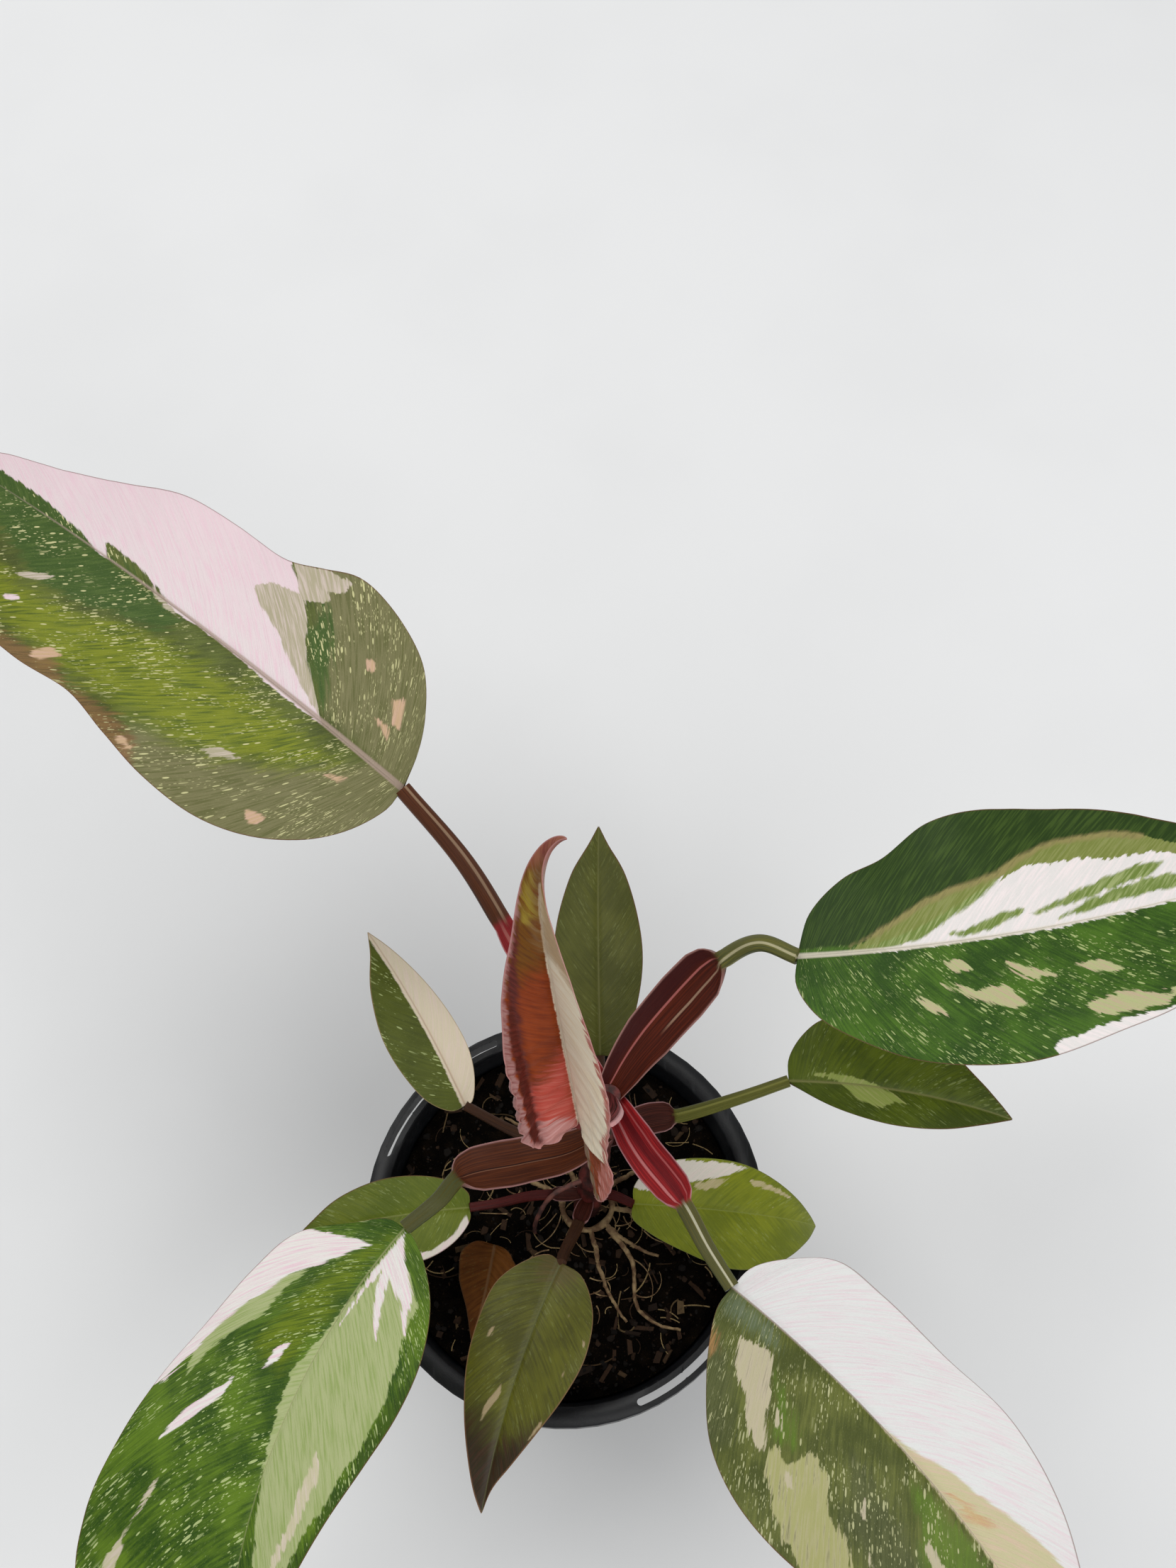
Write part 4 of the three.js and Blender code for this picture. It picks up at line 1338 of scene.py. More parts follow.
@dataclass
class Roots:
    """The aerial root and the roots that run over the soil from the stem's foot.

    Attributes:
        foot: the middle of the stem's foot.
        collar: the radius of the ring of roots round it.
        radius: the radius of a root where it starts.
        count: how many roots start from the ring.
        first_heading: the first root's heading, in degrees.
        spread: the headings that the roots share out, in degrees.
        long_root: the path of the longest root over the soil.
        lift: how high over the soil a root's middle runs.
        long_lift: how high the longest root's runs.
        collar_lift: how high the ring's runs.
        aerial: the path of the root that comes from the stem.
        aerial_radius: its radius where it starts.
        hairs: how many fine roots there are.
        hair_radius: the radius of a fine root where it starts.
        hair_sink: how much lower than a root it runs.
        seed: the seed of its chances.
        tan: the finish of the roots on the soil.
        red: the finish of the aerial root.
    """

    foot: tuple[float, float] = (6.8, 4.0)
    collar: float = 7.6
    radius: float = 0.85
    count: int = 7
    first_heading: float = -88.0
    spread: float = 285.0
    long_root: Points = ((11.5, -2.5), (19, -13), (20, -27), (26, -32.5), (33, -34))
    lift: float = 1.2
    long_lift: float = 1.4
    collar_lift: float = 1.3
    aerial: Points = ((7, 9, 106), (-3, 5, 105), (-8.5, -1, 97), (-9.5, -5, 82))
    aerial_radius: float = 0.8
    hairs: int = 60
    hair_radius: float = 0.22
    hair_sink: float = 0.5
    seed: int = 7
    tan: BarkSkin = BarkSkin((0.36, 0.25, 0.12), (0.12, 0.06, 0.025), 0.2, 0.7)
    red: BarkSkin = BarkSkin((0.16, 0.05, 0.035), (0.05, 0.018, 0.014), 0.3, 0.55)

    def crawling(self, x: float, y: float, heading: float, length: float, turn: float) -> np.ndarray:
        """A path over the soil.

        Args:
            x: where it starts.
            y: where it starts.
            heading: its first direction, in degrees.
            length: its length.
            turn: how far it turns, in degrees.

        Returns:
            The points of its middle.
        """
        steps = 14
        path = []
        for k in range(steps + 1):
            path.append((x, y, float(soil_height(np.array(x), np.array(y))) + self.lift))
            heading += turn / steps
            x += length / steps * math.cos(math.radians(heading))
            y += length / steps * math.sin(math.radians(heading))
        return np.array(path)

    def build(self) -> list[bpy.types.Object]:
        """Makes the roots over their solids.

        Returns:
            The ground roots and the aerial root.
        """
        random = np.random.default_rng(self.seed)
        heap = Heap()
        course = np.array(self.long_root, float)
        paths = [np.column_stack([course, soil_height(course[:, 0], course[:, 1]) + self.long_lift])]
        for k in range(self.count):
            heading = self.first_heading + self.spread * k / self.count + random.uniform(-8, 8)
            x = self.foot[0] + self.collar * math.cos(math.radians(heading))
            y = self.foot[1] + self.collar * math.sin(math.radians(heading))
            paths.append(self.crawling(x, y, heading, random.uniform(15, 30), random.uniform(-50, 50)))
        for path in paths:
            line = spline(path, np.linspace(0, 1, 40))
            wander = random.normal(0, 0.12, (40, 3)).cumsum(axis=0)
            line = line + (wander - wander.mean(axis=0)) * [1, 1, 0.15]
            radii = self.radius * np.linspace(1, 0.5, 40) * random.uniform(0.85, 1.1, 40)
            heap.add(*tube(line, radii, 9), tint=random.uniform(0, 1))
        ring = np.linspace(0, 2 * np.pi, 49)
        collar = self.collar * np.stack([np.cos(ring), np.sin(ring)], -1) + self.foot[:2]
        heights = soil_height(collar[:, 0], collar[:, 1]) + self.collar_lift
        band = np.column_stack([collar, heights + 0.3 * np.sin(3 * ring)])
        heap.add(*tube(band, self.radius * (1.2 + 0.25 * np.sin(5 * ring)), 10), tint=0.3)
        for k in range(self.hairs):
            heading = random.uniform(0, 360)
            away = random.uniform(2, 30)
            x = self.foot[0] + away * math.cos(math.radians(heading))
            y = self.foot[1] + away * math.sin(math.radians(heading))
            heading += random.uniform(-90, 90)
            path = self.crawling(x, y, heading, random.uniform(5, 15), random.uniform(-160, 160))
            path[:, 2] -= self.hair_sink
            line = spline(path, np.linspace(0, 1, 12))
            heap.add(*tube(line, np.linspace(self.hair_radius, 0.1, 12), 4), tint=random.uniform(0, 1))
        ground = heap.made("roots_over_soil")
        ground.data.materials.append(self.tan.material("root_tan"))
        settle(ground, Slot.ROOT, "roots_ground")
        line = spline(self.aerial, np.linspace(0, 1, 60))
        radii = self.aerial_radius * np.linspace(1, 0.7, 60) * (1 + 0.08 * np.sin(np.linspace(0, 60, 60)))
        points, faces = tube(line, radii, 12)
        aerial = mesh_object("root_in_air", points, faces)
        aerial.data.materials.append(self.red.material("root_red"))
        settle(aerial, Slot.ROOT, "root_aerial")
        return [ground, aerial]


# The soil.
@dataclass(frozen=True)
class SoilSkin:
    """The finish of peat and of what lies in it.

    Attributes:
        dark: the peat's dark colour.
        light: its light colour.
    """

    dark: Colour = (0.0014, 0.0009, 0.0006)
    light: Colour = (0.0065, 0.004, 0.002)

    def material(self, name: str) -> bpy.types.Material:
        """Makes the material of the peat.

        Args:
            name: its name.

        Returns:
            The material.
        """
        recipe = Recipe(name)
        place = recipe.place()
        coarse = recipe.noise(place, (230.0, 230.0, 230.0), 5.0)
        fine = recipe.noise(place, (1500.0, 1500.0, 1500.0), 3.0)
        colour = recipe.mix(recipe.smooth(coarse, 0.4, 0.75), self.dark, self.light)
        colour = recipe.mix(recipe.smooth(fine, 0.62, 0.72) * 0.5, colour, (0.04, 0.024, 0.013))
        sockets = {
            "Base Color": colour,
            "Roughness": 0.85 + fine * 0.15,
            "Specular IOR Level": 0.05,
            "Normal": recipe.bump(coarse * 0.5 + fine * 0.5, 1.2),
        }
        return recipe.finish(sockets)

    def litter(self, name: str) -> bpy.types.Material:
        """Makes the material of crumbs, bark and fibres, coloured by their tint.

        Args:
            name: its name.

        Returns:
            The material.
        """
        recipe = Recipe(name)
        tint = recipe.amount("tint")
        fine = recipe.noise(recipe.place(), (900.0, 900.0, 900.0), 3.0)
        colour = recipe.mix(recipe.smooth(tint, 0.25, 0.6), (0.005, 0.0035, 0.0025), (0.04, 0.02, 0.01))
        colour = recipe.mix(recipe.smooth(tint, 0.7, 1.0), colour, (0.34, 0.24, 0.11))
        colour = recipe.mix(recipe.smooth(fine, 0.5, 0.75) * 0.6, colour, (0.015, 0.01, 0.007))
        sockets = {
            "Base Color": colour,
            "Roughness": 0.75 + fine * 0.2,
            "Specular IOR Level": 0.2,
            "Normal": recipe.bump(fine, 0.3),
        }
        return recipe.finish(sockets)


@dataclass
class Soil:
    """The peat in the pot, with crumbs, bark chips and fibres on it.

    Attributes:
        bottom: the height of its underside.
        top_radius: its radius at the top.
        bottom_radius: its radius at the underside.
        rings: rings of points on its top.
        segments: points in a ring.
        crumbs: how many crumbs there are.
        chips: how many bark chips there are.
        chip_lift: how high a chip's middle lies.
        fibres: how many fibres there are.
        fibre_lift: how high a fibre's middle lies.
        bare_edge: how far crumbs and chips stay from the wall.
        seed: the seed of its chances.
        skin: the finish.
    """

    bottom: float = 1.8
    top_radius: float = 51.9
    bottom_radius: float = 39.3
    rings: int = 84
    segments: int = 220
    crumbs: int = 900
    chips: int = 90
    chip_lift: float = 0.2
    fibres: int = 110
    fibre_lift: float = 0.35
    bare_edge: float = 1.5
    seed: int = 21
    skin: SoilSkin = SoilSkin()

    def surface(self, x: np.ndarray, y: np.ndarray) -> np.ndarray:
        """The height of the crumbly surface.

        Args:
            x: first coordinates.
            y: second coordinates.

        Returns:
            Heights in millimetres.
        """
        fine = 0.9 * lumps(x, y, 3.7, 5) + 0.55 * lumps(x, y, 1.7, 6) + 0.3 * np.abs(lumps(x, y, 0.9, 7))
        away = np.clip((self.top_radius - np.hypot(x, y)) / 2, 0, 1)
        return soil_height(x, y) + fine * away

    def build(self) -> list[bpy.types.Object]:
        """Makes the peat over its solid, and the litter on it.

        Returns:
            The peat and the litter.
        """
        radii = np.concatenate([[0.4], np.linspace(1.2, self.top_radius, self.rings)])
        angles = 2 * np.pi * np.arange(self.segments) / self.segments
        x, y = radii[:, None] * np.cos(angles), radii[:, None] * np.sin(angles)
        top = np.stack([x, y, self.surface(x, y)], -1).reshape(-1, 3)
        low = np.stack([np.cos(angles), np.sin(angles), np.zeros_like(angles)], -1) * self.bottom_radius
        points = np.concatenate([top, low + [0, 0, self.bottom]])
        count = len(radii) + 1
        faces = grid_faces(count, self.segments, ring=True)[:, ::-1].tolist()
        faces.append(list(range(self.segments)))
        faces.append([len(points) - 1 - k for k in range(self.segments)])
        peat = mesh_object("soil_peat", points, faces, crease=80.0)
        peat.data.materials.append(self.skin.material("soil_skin"))
        settle(peat, Slot.SOIL, "soil")
        return [peat, self.scatter()]

    def scatter(self) -> bpy.types.Object:
        """Strews crumbs, bark chips and fibres over the peat.

        Returns:
            The litter, as one piece.
        """
        random = np.random.default_rng(self.seed)
        heap = Heap()
        ball = bmesh.new()
        bmesh.ops.create_icosphere(ball, subdivisions=1, radius=1.0)
        knobs = np.array([v.co[:] for v in ball.verts])
        sides = [[v.index for v in f.verts] for f in ball.faces]
        ball.free()
        block = np.array([[a, b, c] for a in (-1, 1) for b in (-1, 1) for c in (-1, 1)], float)
        plates = [[0, 1, 3, 2], [4, 6, 7, 5], [0, 4, 5, 1], [2, 3, 7, 6], [0, 2, 6, 4], [1, 5, 7, 3]]

        def spot() -> np.ndarray:
            """Picks a random place on the peat.

            Returns:
                The place, in millimetres.
            """
            away = (self.top_radius - self.bare_edge) * math.sqrt(random.uniform(0, 1))
            heading = random.uniform(0, 2 * math.pi)
            x, y = away * math.cos(heading), away * math.sin(heading)
            return np.array([x, y, float(self.surface(np.array(x), np.array(y)))])

        def tilt() -> np.ndarray:
            """Picks a random turn, mostly about the upright.

            Returns:
                The turn's matrix.
            """
            turn = Matrix.Rotation(random.uniform(0, 6.28), 3, "Z")
            lean = Matrix.Rotation(random.normal(0, 0.35), 3, "X")
            return np.array(turn @ lean)

        for _ in range(self.crumbs):
            size = 0.35 + 1.1 * random.uniform(0, 1) ** 3
            form = knobs * random.uniform(0.6, 1.2, (len(knobs), 1)) * [1.2, 1.0, 0.75] * size
            heap.add(form @ tilt().T + spot(), sides, random.uniform(0, 0.55))
        for _ in range(self.chips):
            size = np.array([random.uniform(1, 3.4), random.uniform(0.4, 1.1), random.uniform(0.2, 0.45)])
            form = block * random.uniform(0.75, 1.1, (8, 3)) * size
            heap.add(form @ tilt().T + spot() + [0, 0, self.chip_lift], plates, random.uniform(0.35, 0.8))
        for _ in range(self.fibres):
            start = spot() + [0, 0, self.fibre_lift]
            heading, turn = random.uniform(0, 6.28), random.uniform(-2.4, 2.4)
            length, steps = random.uniform(3, 13), 9
            path = [start]
            for k in range(steps):
                heading += turn / steps
                ahead = path[-1] + np.array([math.cos(heading), math.sin(heading), 0]) * length / steps
                if math.hypot(ahead[0], ahead[1]) > self.top_radius - 1:
                    break
                ahead[2] = float(self.surface(ahead[0:1], ahead[1:2])[0]) + self.fibre_lift
                path.append(ahead)
            if len(path) > 3:
                radii = np.full(len(path), random.uniform(0.1, 0.24))
                heap.add(*tube(np.array(path), radii, 4), random.uniform(0.6, 1.1))
        litter = heap.made("soil_litter")
        litter.data.materials.append(self.skin.litter("litter_skin"))
        return settle(litter, Slot.SOIL)


# The pot.
@dataclass(frozen=True)
class PotSkin:
    """The finish of the moulded pot.

    Attributes:
        plastic: the plastic's colour.
        dust: the colour of dust and scuffs on it.
    """

    plastic: Colour = (0.003, 0.0036, 0.005)
    dust: Colour = (0.035, 0.037, 0.04)

    def material(self, name: str) -> bpy.types.Material:
        """Makes the material of the pot.

        Args:
            name: its name.

        Returns:
            The material.
        """
        recipe = Recipe(name)
        place = recipe.place()
        turning = recipe.noise(place, (4.0, 4.0, 900.0), 2.0)
        grain = recipe.noise(place, (2400.0, 2400.0, 2400.0), 2.0)
        smudge = recipe.noise(place, (45.0, 45.0, 60.0), 5.0)
        scuff = recipe.smooth(recipe.noise(place, (700.0, 90.0, 700.0), 4.0), 0.6, 0.72)
        dust = recipe.smooth(smudge, 0.45, 0.8) * 0.3 + scuff * 0.25
        sockets = {
            "Base Color": recipe.mix(dust, self.plastic, self.dust),
            "Roughness": 0.3 + smudge * 0.2 + scuff * 0.15,
            "Specular IOR Level": 0.35,
            "Normal": recipe.bump(grain * 0.35 + turning * 0.65, 0.12),
        }
        return recipe.finish(sockets)


@dataclass
class Pot:
    """The round pot, a softened copy of its solid.

    Attributes:
        skin: the finish.
        weld: points closer than this are joined.
        crease: edges sharper than this stay sharp, in degrees.
    """

    skin: PotSkin = PotSkin()
    weld: float = 0.002
    crease: float = 32.0

    def build(self) -> bpy.types.Object:
        """Copies the solid's mesh, welds and softens it.

        Returns:
            The pot.
        """
        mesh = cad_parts["pot"].data.copy()
        mesh.name = "pot_shell"
        work = bmesh.new()
        work.from_mesh(mesh)
        bmesh.ops.remove_doubles(work, verts=work.verts, dist=self.weld * MM)
        work.to_mesh(mesh)
        work.free()
        mesh.shade_smooth()
        mesh.set_sharp_from_angle(angle=math.radians(self.crease))
        mesh.materials.clear()
        mesh.materials.append(self.skin.material("pot_skin"))
        item = bpy.data.objects.new("pot_shell", mesh)
        bpy.context.scene.collection.objects.link(item)
        return settle(item, Slot.POT, "pot")


# The studio.
@dataclass
class Studio:
    """The floor, the soft light and the camera.

    Attributes:
        focal: the focal length, in points of the picture.
        frame_height: the picture's height, in the same points.
        elevation: how far down the camera looks, in degrees.
        roll: how far it turns about its own axis, in degrees.
        stand: where it stands.
        aim_height: the height that the lamps point at.
        floor_size: half the floor's side.
        floor_colour: the floor's colour.
    """

    focal: float = 2660.0
    frame_height: float = 2212.0
    elevation: float = 68.76
    roll: float = -3.49
    stand: tuple[float, float, float] = (14.8, -84.4, 667.7)
    aim_height: float = 120.0
    floor_size: float = 2600.0
    floor_colour: Colour = (0.74, 0.745, 0.75)

    def floor(self) -> None:
        """Makes the pale floor."""
        size = self.floor_size
        points = np.array([[-size, -size, 0], [size, -size, 0], [size, size, 0], [-size, size, 0]])
        item = mesh_object("floor", points, [[0, 1, 2, 3]])
        recipe = Recipe("floor_skin")
        stain = recipe.noise(recipe.place(), (9.0, 9.0, 9.0), 3.0)
        darker = tuple(0.95 * part for part in self.floor_colour)
        colour = recipe.mix(recipe.smooth(stain, 0.4, 0.7) * 0.5, self.floor_colour, darker)
        item.data.materials.append(recipe.finish({"Base Color": colour, "Roughness": 0.7}))

    def lamp(self, name: str, where: Points, size: float, power: float, tint: Colour) -> None:
        """Adds a soft square light that faces the plant.

        Args:
            name: its name.
            where: its place, in millimetres.
            size: its side, in metres.
            power: its power, in watts.
            tint: its colour.
        """
        light = bpy.data.lights.new(name, "AREA")
        light.size = size
        light.energy = power
        light.color = tint
        item = bpy.data.objects.new(name, light)
        item.location = Vector(where) * MM
        aim = Vector((0, 0, self.aim_height * MM)) - item.location
        item.rotation_euler = aim.to_track_quat("-Z", "Y").to_euler()
        bpy.context.scene.collection.objects.link(item)

    def light(self) -> None:
        """Adds the sky and the soft lights."""
        world = bpy.data.worlds.new("soft_sky")
        bpy.context.scene.world = world
        world.use_nodes = True
        sky = world.node_tree.nodes["Background"]
        sky.inputs["Color"].default_value = (0.97, 0.985, 1.0, 1.0)
        sky.inputs["Strength"].default_value = 0.5
        self.lamp("window", (-450, 700, 1600), 1.5, 15.0, (1.0, 0.99, 0.97))
        self.lamp("side_fill", (900, -900, 1500), 1.6, 18.0, (1.0, 0.995, 0.99))

    def camera(self) -> None:
        """Places the camera at the photograph's viewing angle."""
        angle, tip = math.radians(self.elevation), math.radians(self.roll)
        look = Matrix(
            (
                (1.0, 0.0, 0.0),
                (0.0, math.sin(angle), -math.cos(angle)),
                (0.0, math.cos(angle), math.sin(angle)),
            )
        )
        turn = look @ Matrix.Rotation(tip, 3, "Z")
        data = bpy.data.cameras.new("photo_camera")
        data.sensor_width = 36.0
        data.lens = self.focal / self.frame_height * data.sensor_width
        data.clip_start = 0.02
        item = bpy.data.objects.new("photo_camera", data)
        item.matrix_world = Matrix.Translation(Vector(self.stand) * MM) @ turn.to_4x4()
        bpy.context.scene.collection.objects.link(item)
        bpy.context.scene.camera = item

    def build(self) -> None:
        """Sets the studio up."""
        self.camera()
        self.floor()
        self.light()
        bpy.context.scene.view_settings.view_transform = "Standard"


# Colours shared by several leaves.
WHITE: Colour = (0.69, 0.66, 0.64)
PINK_WHITE: Colour = (0.71, 0.53, 0.58)
SAGE: Colour = (0.4, 0.42, 0.2)
TAN: Colour = (0.46, 0.36, 0.24)


# Markings of the large blades, each from the lowest up; one coat of the front right blade is a painted
# sheen.
RIGHT_COATS: tuple[Coat, ...] = (
    Coat("dark", (0.018, 0.04, 0.006), (0.042, 0.078, 0.012),
         (((-4, 1.5), (20, 2), (40, 6), (60, 14), (80, 20), (110, 13), (150, 1), (160, 10), (60, 50),
           (-8, 30)),),
         ragged=0.2, edge=0.6),
    Coat("lime", (0.17, 0.2, 0.045), (0.25, 0.27, 0.09),
         (((13, 0), (22, 5.2), (28, 8.2), (35.3, 12), (43.6, 14.3), (52, 15.9), (59.2, 17.5), (65, 20.2),
           (73.4, 22.8), (78.7, 23.4), (86, 22.8), (93.3, 22.3), (100.4, 20.9), (106, 18.7), (112.6, 15.2),
           (142, 5.5), (152, 0), (20, 0)),),
         ragged=0.3, mottle=0.25),
    Coat("crinkle", (0.3, 0.24, 0.1), (0.2, 0.16, 0.06),
         (((14, 1.6), (22, 5.5), (28, 8.5), (35.3, 12.3), (43.6, 14.7), (52, 16.3), (59.2, 17.9), (65, 20.6),
           (73.4, 23.2), (78.7, 23.8), (86, 23.2), (93.3, 22.7), (100.4, 21.3), (106, 19.1), (104, 18.2),
           (93, 21.2), (79, 21.9), (73, 21.2), (65, 18.6), (59, 15.8), (52, 14.4), (43, 12.8), (35, 10.3),
           (28, 6.7), (22, 3.8)),),
         ragged=0.2, edge=0.7, cover=0.75),
    Coat("white", WHITE, (0.78, 0.7, 0.69),
         (((20, -0.5), (27, 1.2), (34.7, 3.3), (42.2, 7.8), (50.8, 11.6), (58.7, 15.2), (66.5, 17.5),
           (76, 17), (83.5, 17), (91.3, 14.8), (100, 14.6), (108, 13.5), (124, 8), (146, 1), (110, -0.5),
           (60, -0.5)),
          ((60, -31), (68, -29.5), (75, -28), (92, -28.5), (110, -23), (146, -6), (150, -12), (100, -40),
           (64, -40))),
         ragged=0.4),
    Coat("streaks", (0.14, 0.2, 0.04), (0.3, 0.35, 0.14),
         (((41, 2.2), (48.9, 3.8), (56.1, 6), (62.5, 6.3), (62.5, 5), (56.7, 3.4), (50.7, 1.6), (43, 1)),
          ((64.8, 4.2), (72.4, 6.7), (80, 8.6), (89.3, 10.2), (98.6, 11.6), (108, 10.8), (102.4, 8.1),
           (93, 7.2), (84, 6.3), (76.6, 4.9)),
          ((70, 1.6), (81, 5), (91.6, 6.8), (102, 7.4), (118, 6.5), (110, 3), (97.8, 3.2), (88, 3),
           (80, 2.2)),
          ((18, 1), (30, 4), (40, 7.6), (50, 12), (58, 15.4), (52, 11), (42, 6.4), (34, 2.2), (26, 0.6))),
         ragged=0.3, edge=0.5),
    Coat("patches", SAGE, TAN,
         (((36, -11), (44, -14), (52, -13.5), (57, -20.5), (50, -19.5), (42, -15)),
          ((53, -7), (60, -10), (66, -13.5), (58, -13)), ((71, -11), (79, -11.5), (85, -15.5), (76, -14.5)),
          ((29, -14), (35, -16), (37, -19.5), (31, -18)), ((38, -5), (43, -5.5), (45, -8.5), (40, -8)),
          ((70, -22), (80, -21), (92, -24), (104, -22), (92, -27), (74, -26))),
         ragged=0.5),
)

FRONT_RIGHT_COATS: tuple[Coat, ...] = (
    Coat("bright", (0.075, 0.15, 0.008), (0.12, 0.22, 0.015),
         (((65, -4), (73, -3.4), (94, -1.4), (140, -1), (110, -12), (82, -15.6), (75, -9.5), (69.8, -7.1)),
          ((22, -10), (28, -12.5), (34, -15.5), (38.4, -19), (37, -21.5), (31.5, -21), (27, -14.3))),
         edge=1.8, cover=0.6, flecked=True),
    # A painted sheen: the grey-green gloss near the base of the right half.
    Coat("painted_sheen", (0.1, 0.14, 0.08), (0.2, 0.24, 0.17),
         (((1, -0.1), (8, -0.8), (15, -0.5), (18.2, -4.2), (13.8, -5.6), (7.5, -5.8), (0.7, -5.8)),),
         edge=2.0, cover=0.55, flecked=True),
    Coat("dusk", (0.07, 0.08, 0.03), (0.05, 0.06, 0.018),
         (((50, -10), (70, -12), (90, -18), (92, -30), (60, -24)),
          ((0, -10), (10, -14), (24, -28), (20, -40), (-6, -20))),
         edge=3.0, cover=0.7, flecked=True),
    Coat("white", (0.66, 0.665, 0.65), (0.68, 0.59, 0.61),
         (((-6, 0.1), (70, 0.1), (150, -0.1), (170, 30), (-10, 40)),), ragged=0.06, edge=0.2),
    Coat("wedge", (0.5, 0.46, 0.27), (0.56, 0.44, 0.31),
         (((50, 0), (56.8, 0.9), (60.6, 2), (64.5, 3.3), (71.4, 5.8), (79.1, 7.2), (85.1, 9), (92.7, 11.4),
           (100.8, 12.8), (107.4, 14), (126, 9.5), (150, 0.5), (100, -0.5)),),
         ragged=0.22, edge=0.5),
    Coat("rust", (0.52, 0.25, 0.09), (0.45, 0.2, 0.08),
         (((74, 1.8), (80, 4), (88, 4.5), (82, 1.8)),
          ((1.6, -11.5), (4.2, -12.4), (6, -15.2), (5, -17.5), (1, -15))),
         edge=1.4, cover=0.6),
    Coat("sage", (0.33, 0.325, 0.13), (0.39, 0.36, 0.2),
         (((33.4, -22.7), (35.7, -22.3), (38, -23.4), (40.2, -23), (40.9, -18.4), (43.4, -17.6),
           (47.4, -18.4), (51, -20.6), (55.9, -23.8), (59.6, -25), (64.2, -26.2), (69.1, -28.9), (84, -29),
           (100, -26), (124, -14), (136, -8), (116, -22), (92, -34), (74, -38.5), (60, -38.3), (49.4, -36.8),
           (43.8, -34), (39.9, -31.2), (36.7, -29.4), (33.4, -25.4)),
          ((92, -11), (112, -11), (138, -5), (112, -16), (94, -15))),
         ragged=0.6, mottle=0.55),
    Coat("cream", (0.43, 0.39, 0.25), (0.46, 0.4, 0.29),
         (((9.1, -8.8), (10.8, -7.8), (15.5, -6.8), (17.6, -6), (20.4, -8.9), (24.4, -14.4), (28.4, -20),
           (31.4, -23.6), (33, -26.2), (30.2, -26.2), (26.6, -24.5), (22.9, -22.3), (19.2, -18.8),
           (15.6, -16.5), (12.8, -14.4)),
          ((78.4, -10), (80.3, -9.3), (85.2, -10.6), (90, -12), (98, -13.5), (90, -15.5), (79.3, -12)),
          ((60, -18.4), (59.6, -15.8), (61.5, -16.7), (63.4, -19), (62.2, -19.8)),
          ((27.7, -15.8), (30.5, -16.9), (32.4, -18.7), (30.5, -19)),
          ((38.6, -24.6), (42, -25), (45, -27), (43, -28.4), (40.4, -26.4)),
          ((68, -22.6), (72, -23.6), (76, -26), (71, -25))),
         ragged=0.5, mottle=0.35),
)

FRONT_LEFT_COATS: tuple[Coat, ...] = (
    Coat("flush", (0.12, 0.17, 0.006), (0.05, 0.09, 0.004),
         (((4, -1), (30, -2), (48, -6), (44, -16), (24, -10), (10, -5)),), edge=2.5, flecked=True),
    Coat("dark", (0.035, 0.075, 0.005), (0.025, 0.05, 0.004),
         (((0, -6), (18, -22), (-10, -30)),
          ((20, 26), (44, 23), (64, 21), (90, 14), (120, 6), (150, 1), (150, 30), (30, 40))),
         edge=1.0, cover=0.8, flecked=True),
    Coat("sage", (0.36, 0.4, 0.19), (0.26, 0.33, 0.11),
         (((1, 0.5), (3, 3), (8, 4.5), (8, 9), (14, 16), (22, 17.5), (28, 19.5), (40, 22), (55, 21.5),
           (62, 20), (75, 17.5), (87, 14), (96, 11), (112, 6), (98, 4.5), (84, 2), (70, -0.5), (56, -2.5),
           (45, -3.6), (38, -1.8), (30, -0.3), (15, 0.5)),
          ((21, -12), (28, -15.5), (38, -17.5), (44, -22), (50, -26), (58, -28.5), (52, -30), (44, -27),
           (34, -22), (27, -18.5))),
         ragged=0.35),
    Coat("white", (0.7, 0.68, 0.64), PINK_WHITE,
         (((8.5, -3.5), (14, -7.5), (20, -11.5), (26, -16.5), (34, -21), (44, -26.5), (52, -29.3), (61, -34),
           (64, -40), (44, -36), (30, -31), (17, -25), (13, -14), (10, -8)),
          ((52.5, -16.5), (58, -17), (62, -20), (67, -23.5), (72.5, -29), (66, -26), (61, -22.5),
           (56, -18.5)),
          ((40, -7.5), (46, -8.5), (49, -11), (42, -9.8)),
          ((1, 1), (5, 4), (12, 13), (22, 17.5), (16, 12), (12, 5), (28, 12), (20, 6), (12, 2.5), (30, 1.6),
           (14, 0.8))),
         ragged=0.3),
    Coat("tan", (0.52, 0.47, 0.32), (0.62, 0.52, 0.44),
         (((60, 11.5), (68, 14), (80, 13), (94, 9.5), (106, 6), (92, 8.5), (80, 10.5)),
          ((78, -25.5), (88, -29), (98, -34), (110, -36), (128, -24), (110, -32.5), (96, -31), (86, -27))),
         ragged=0.4, cover=0.85),
)

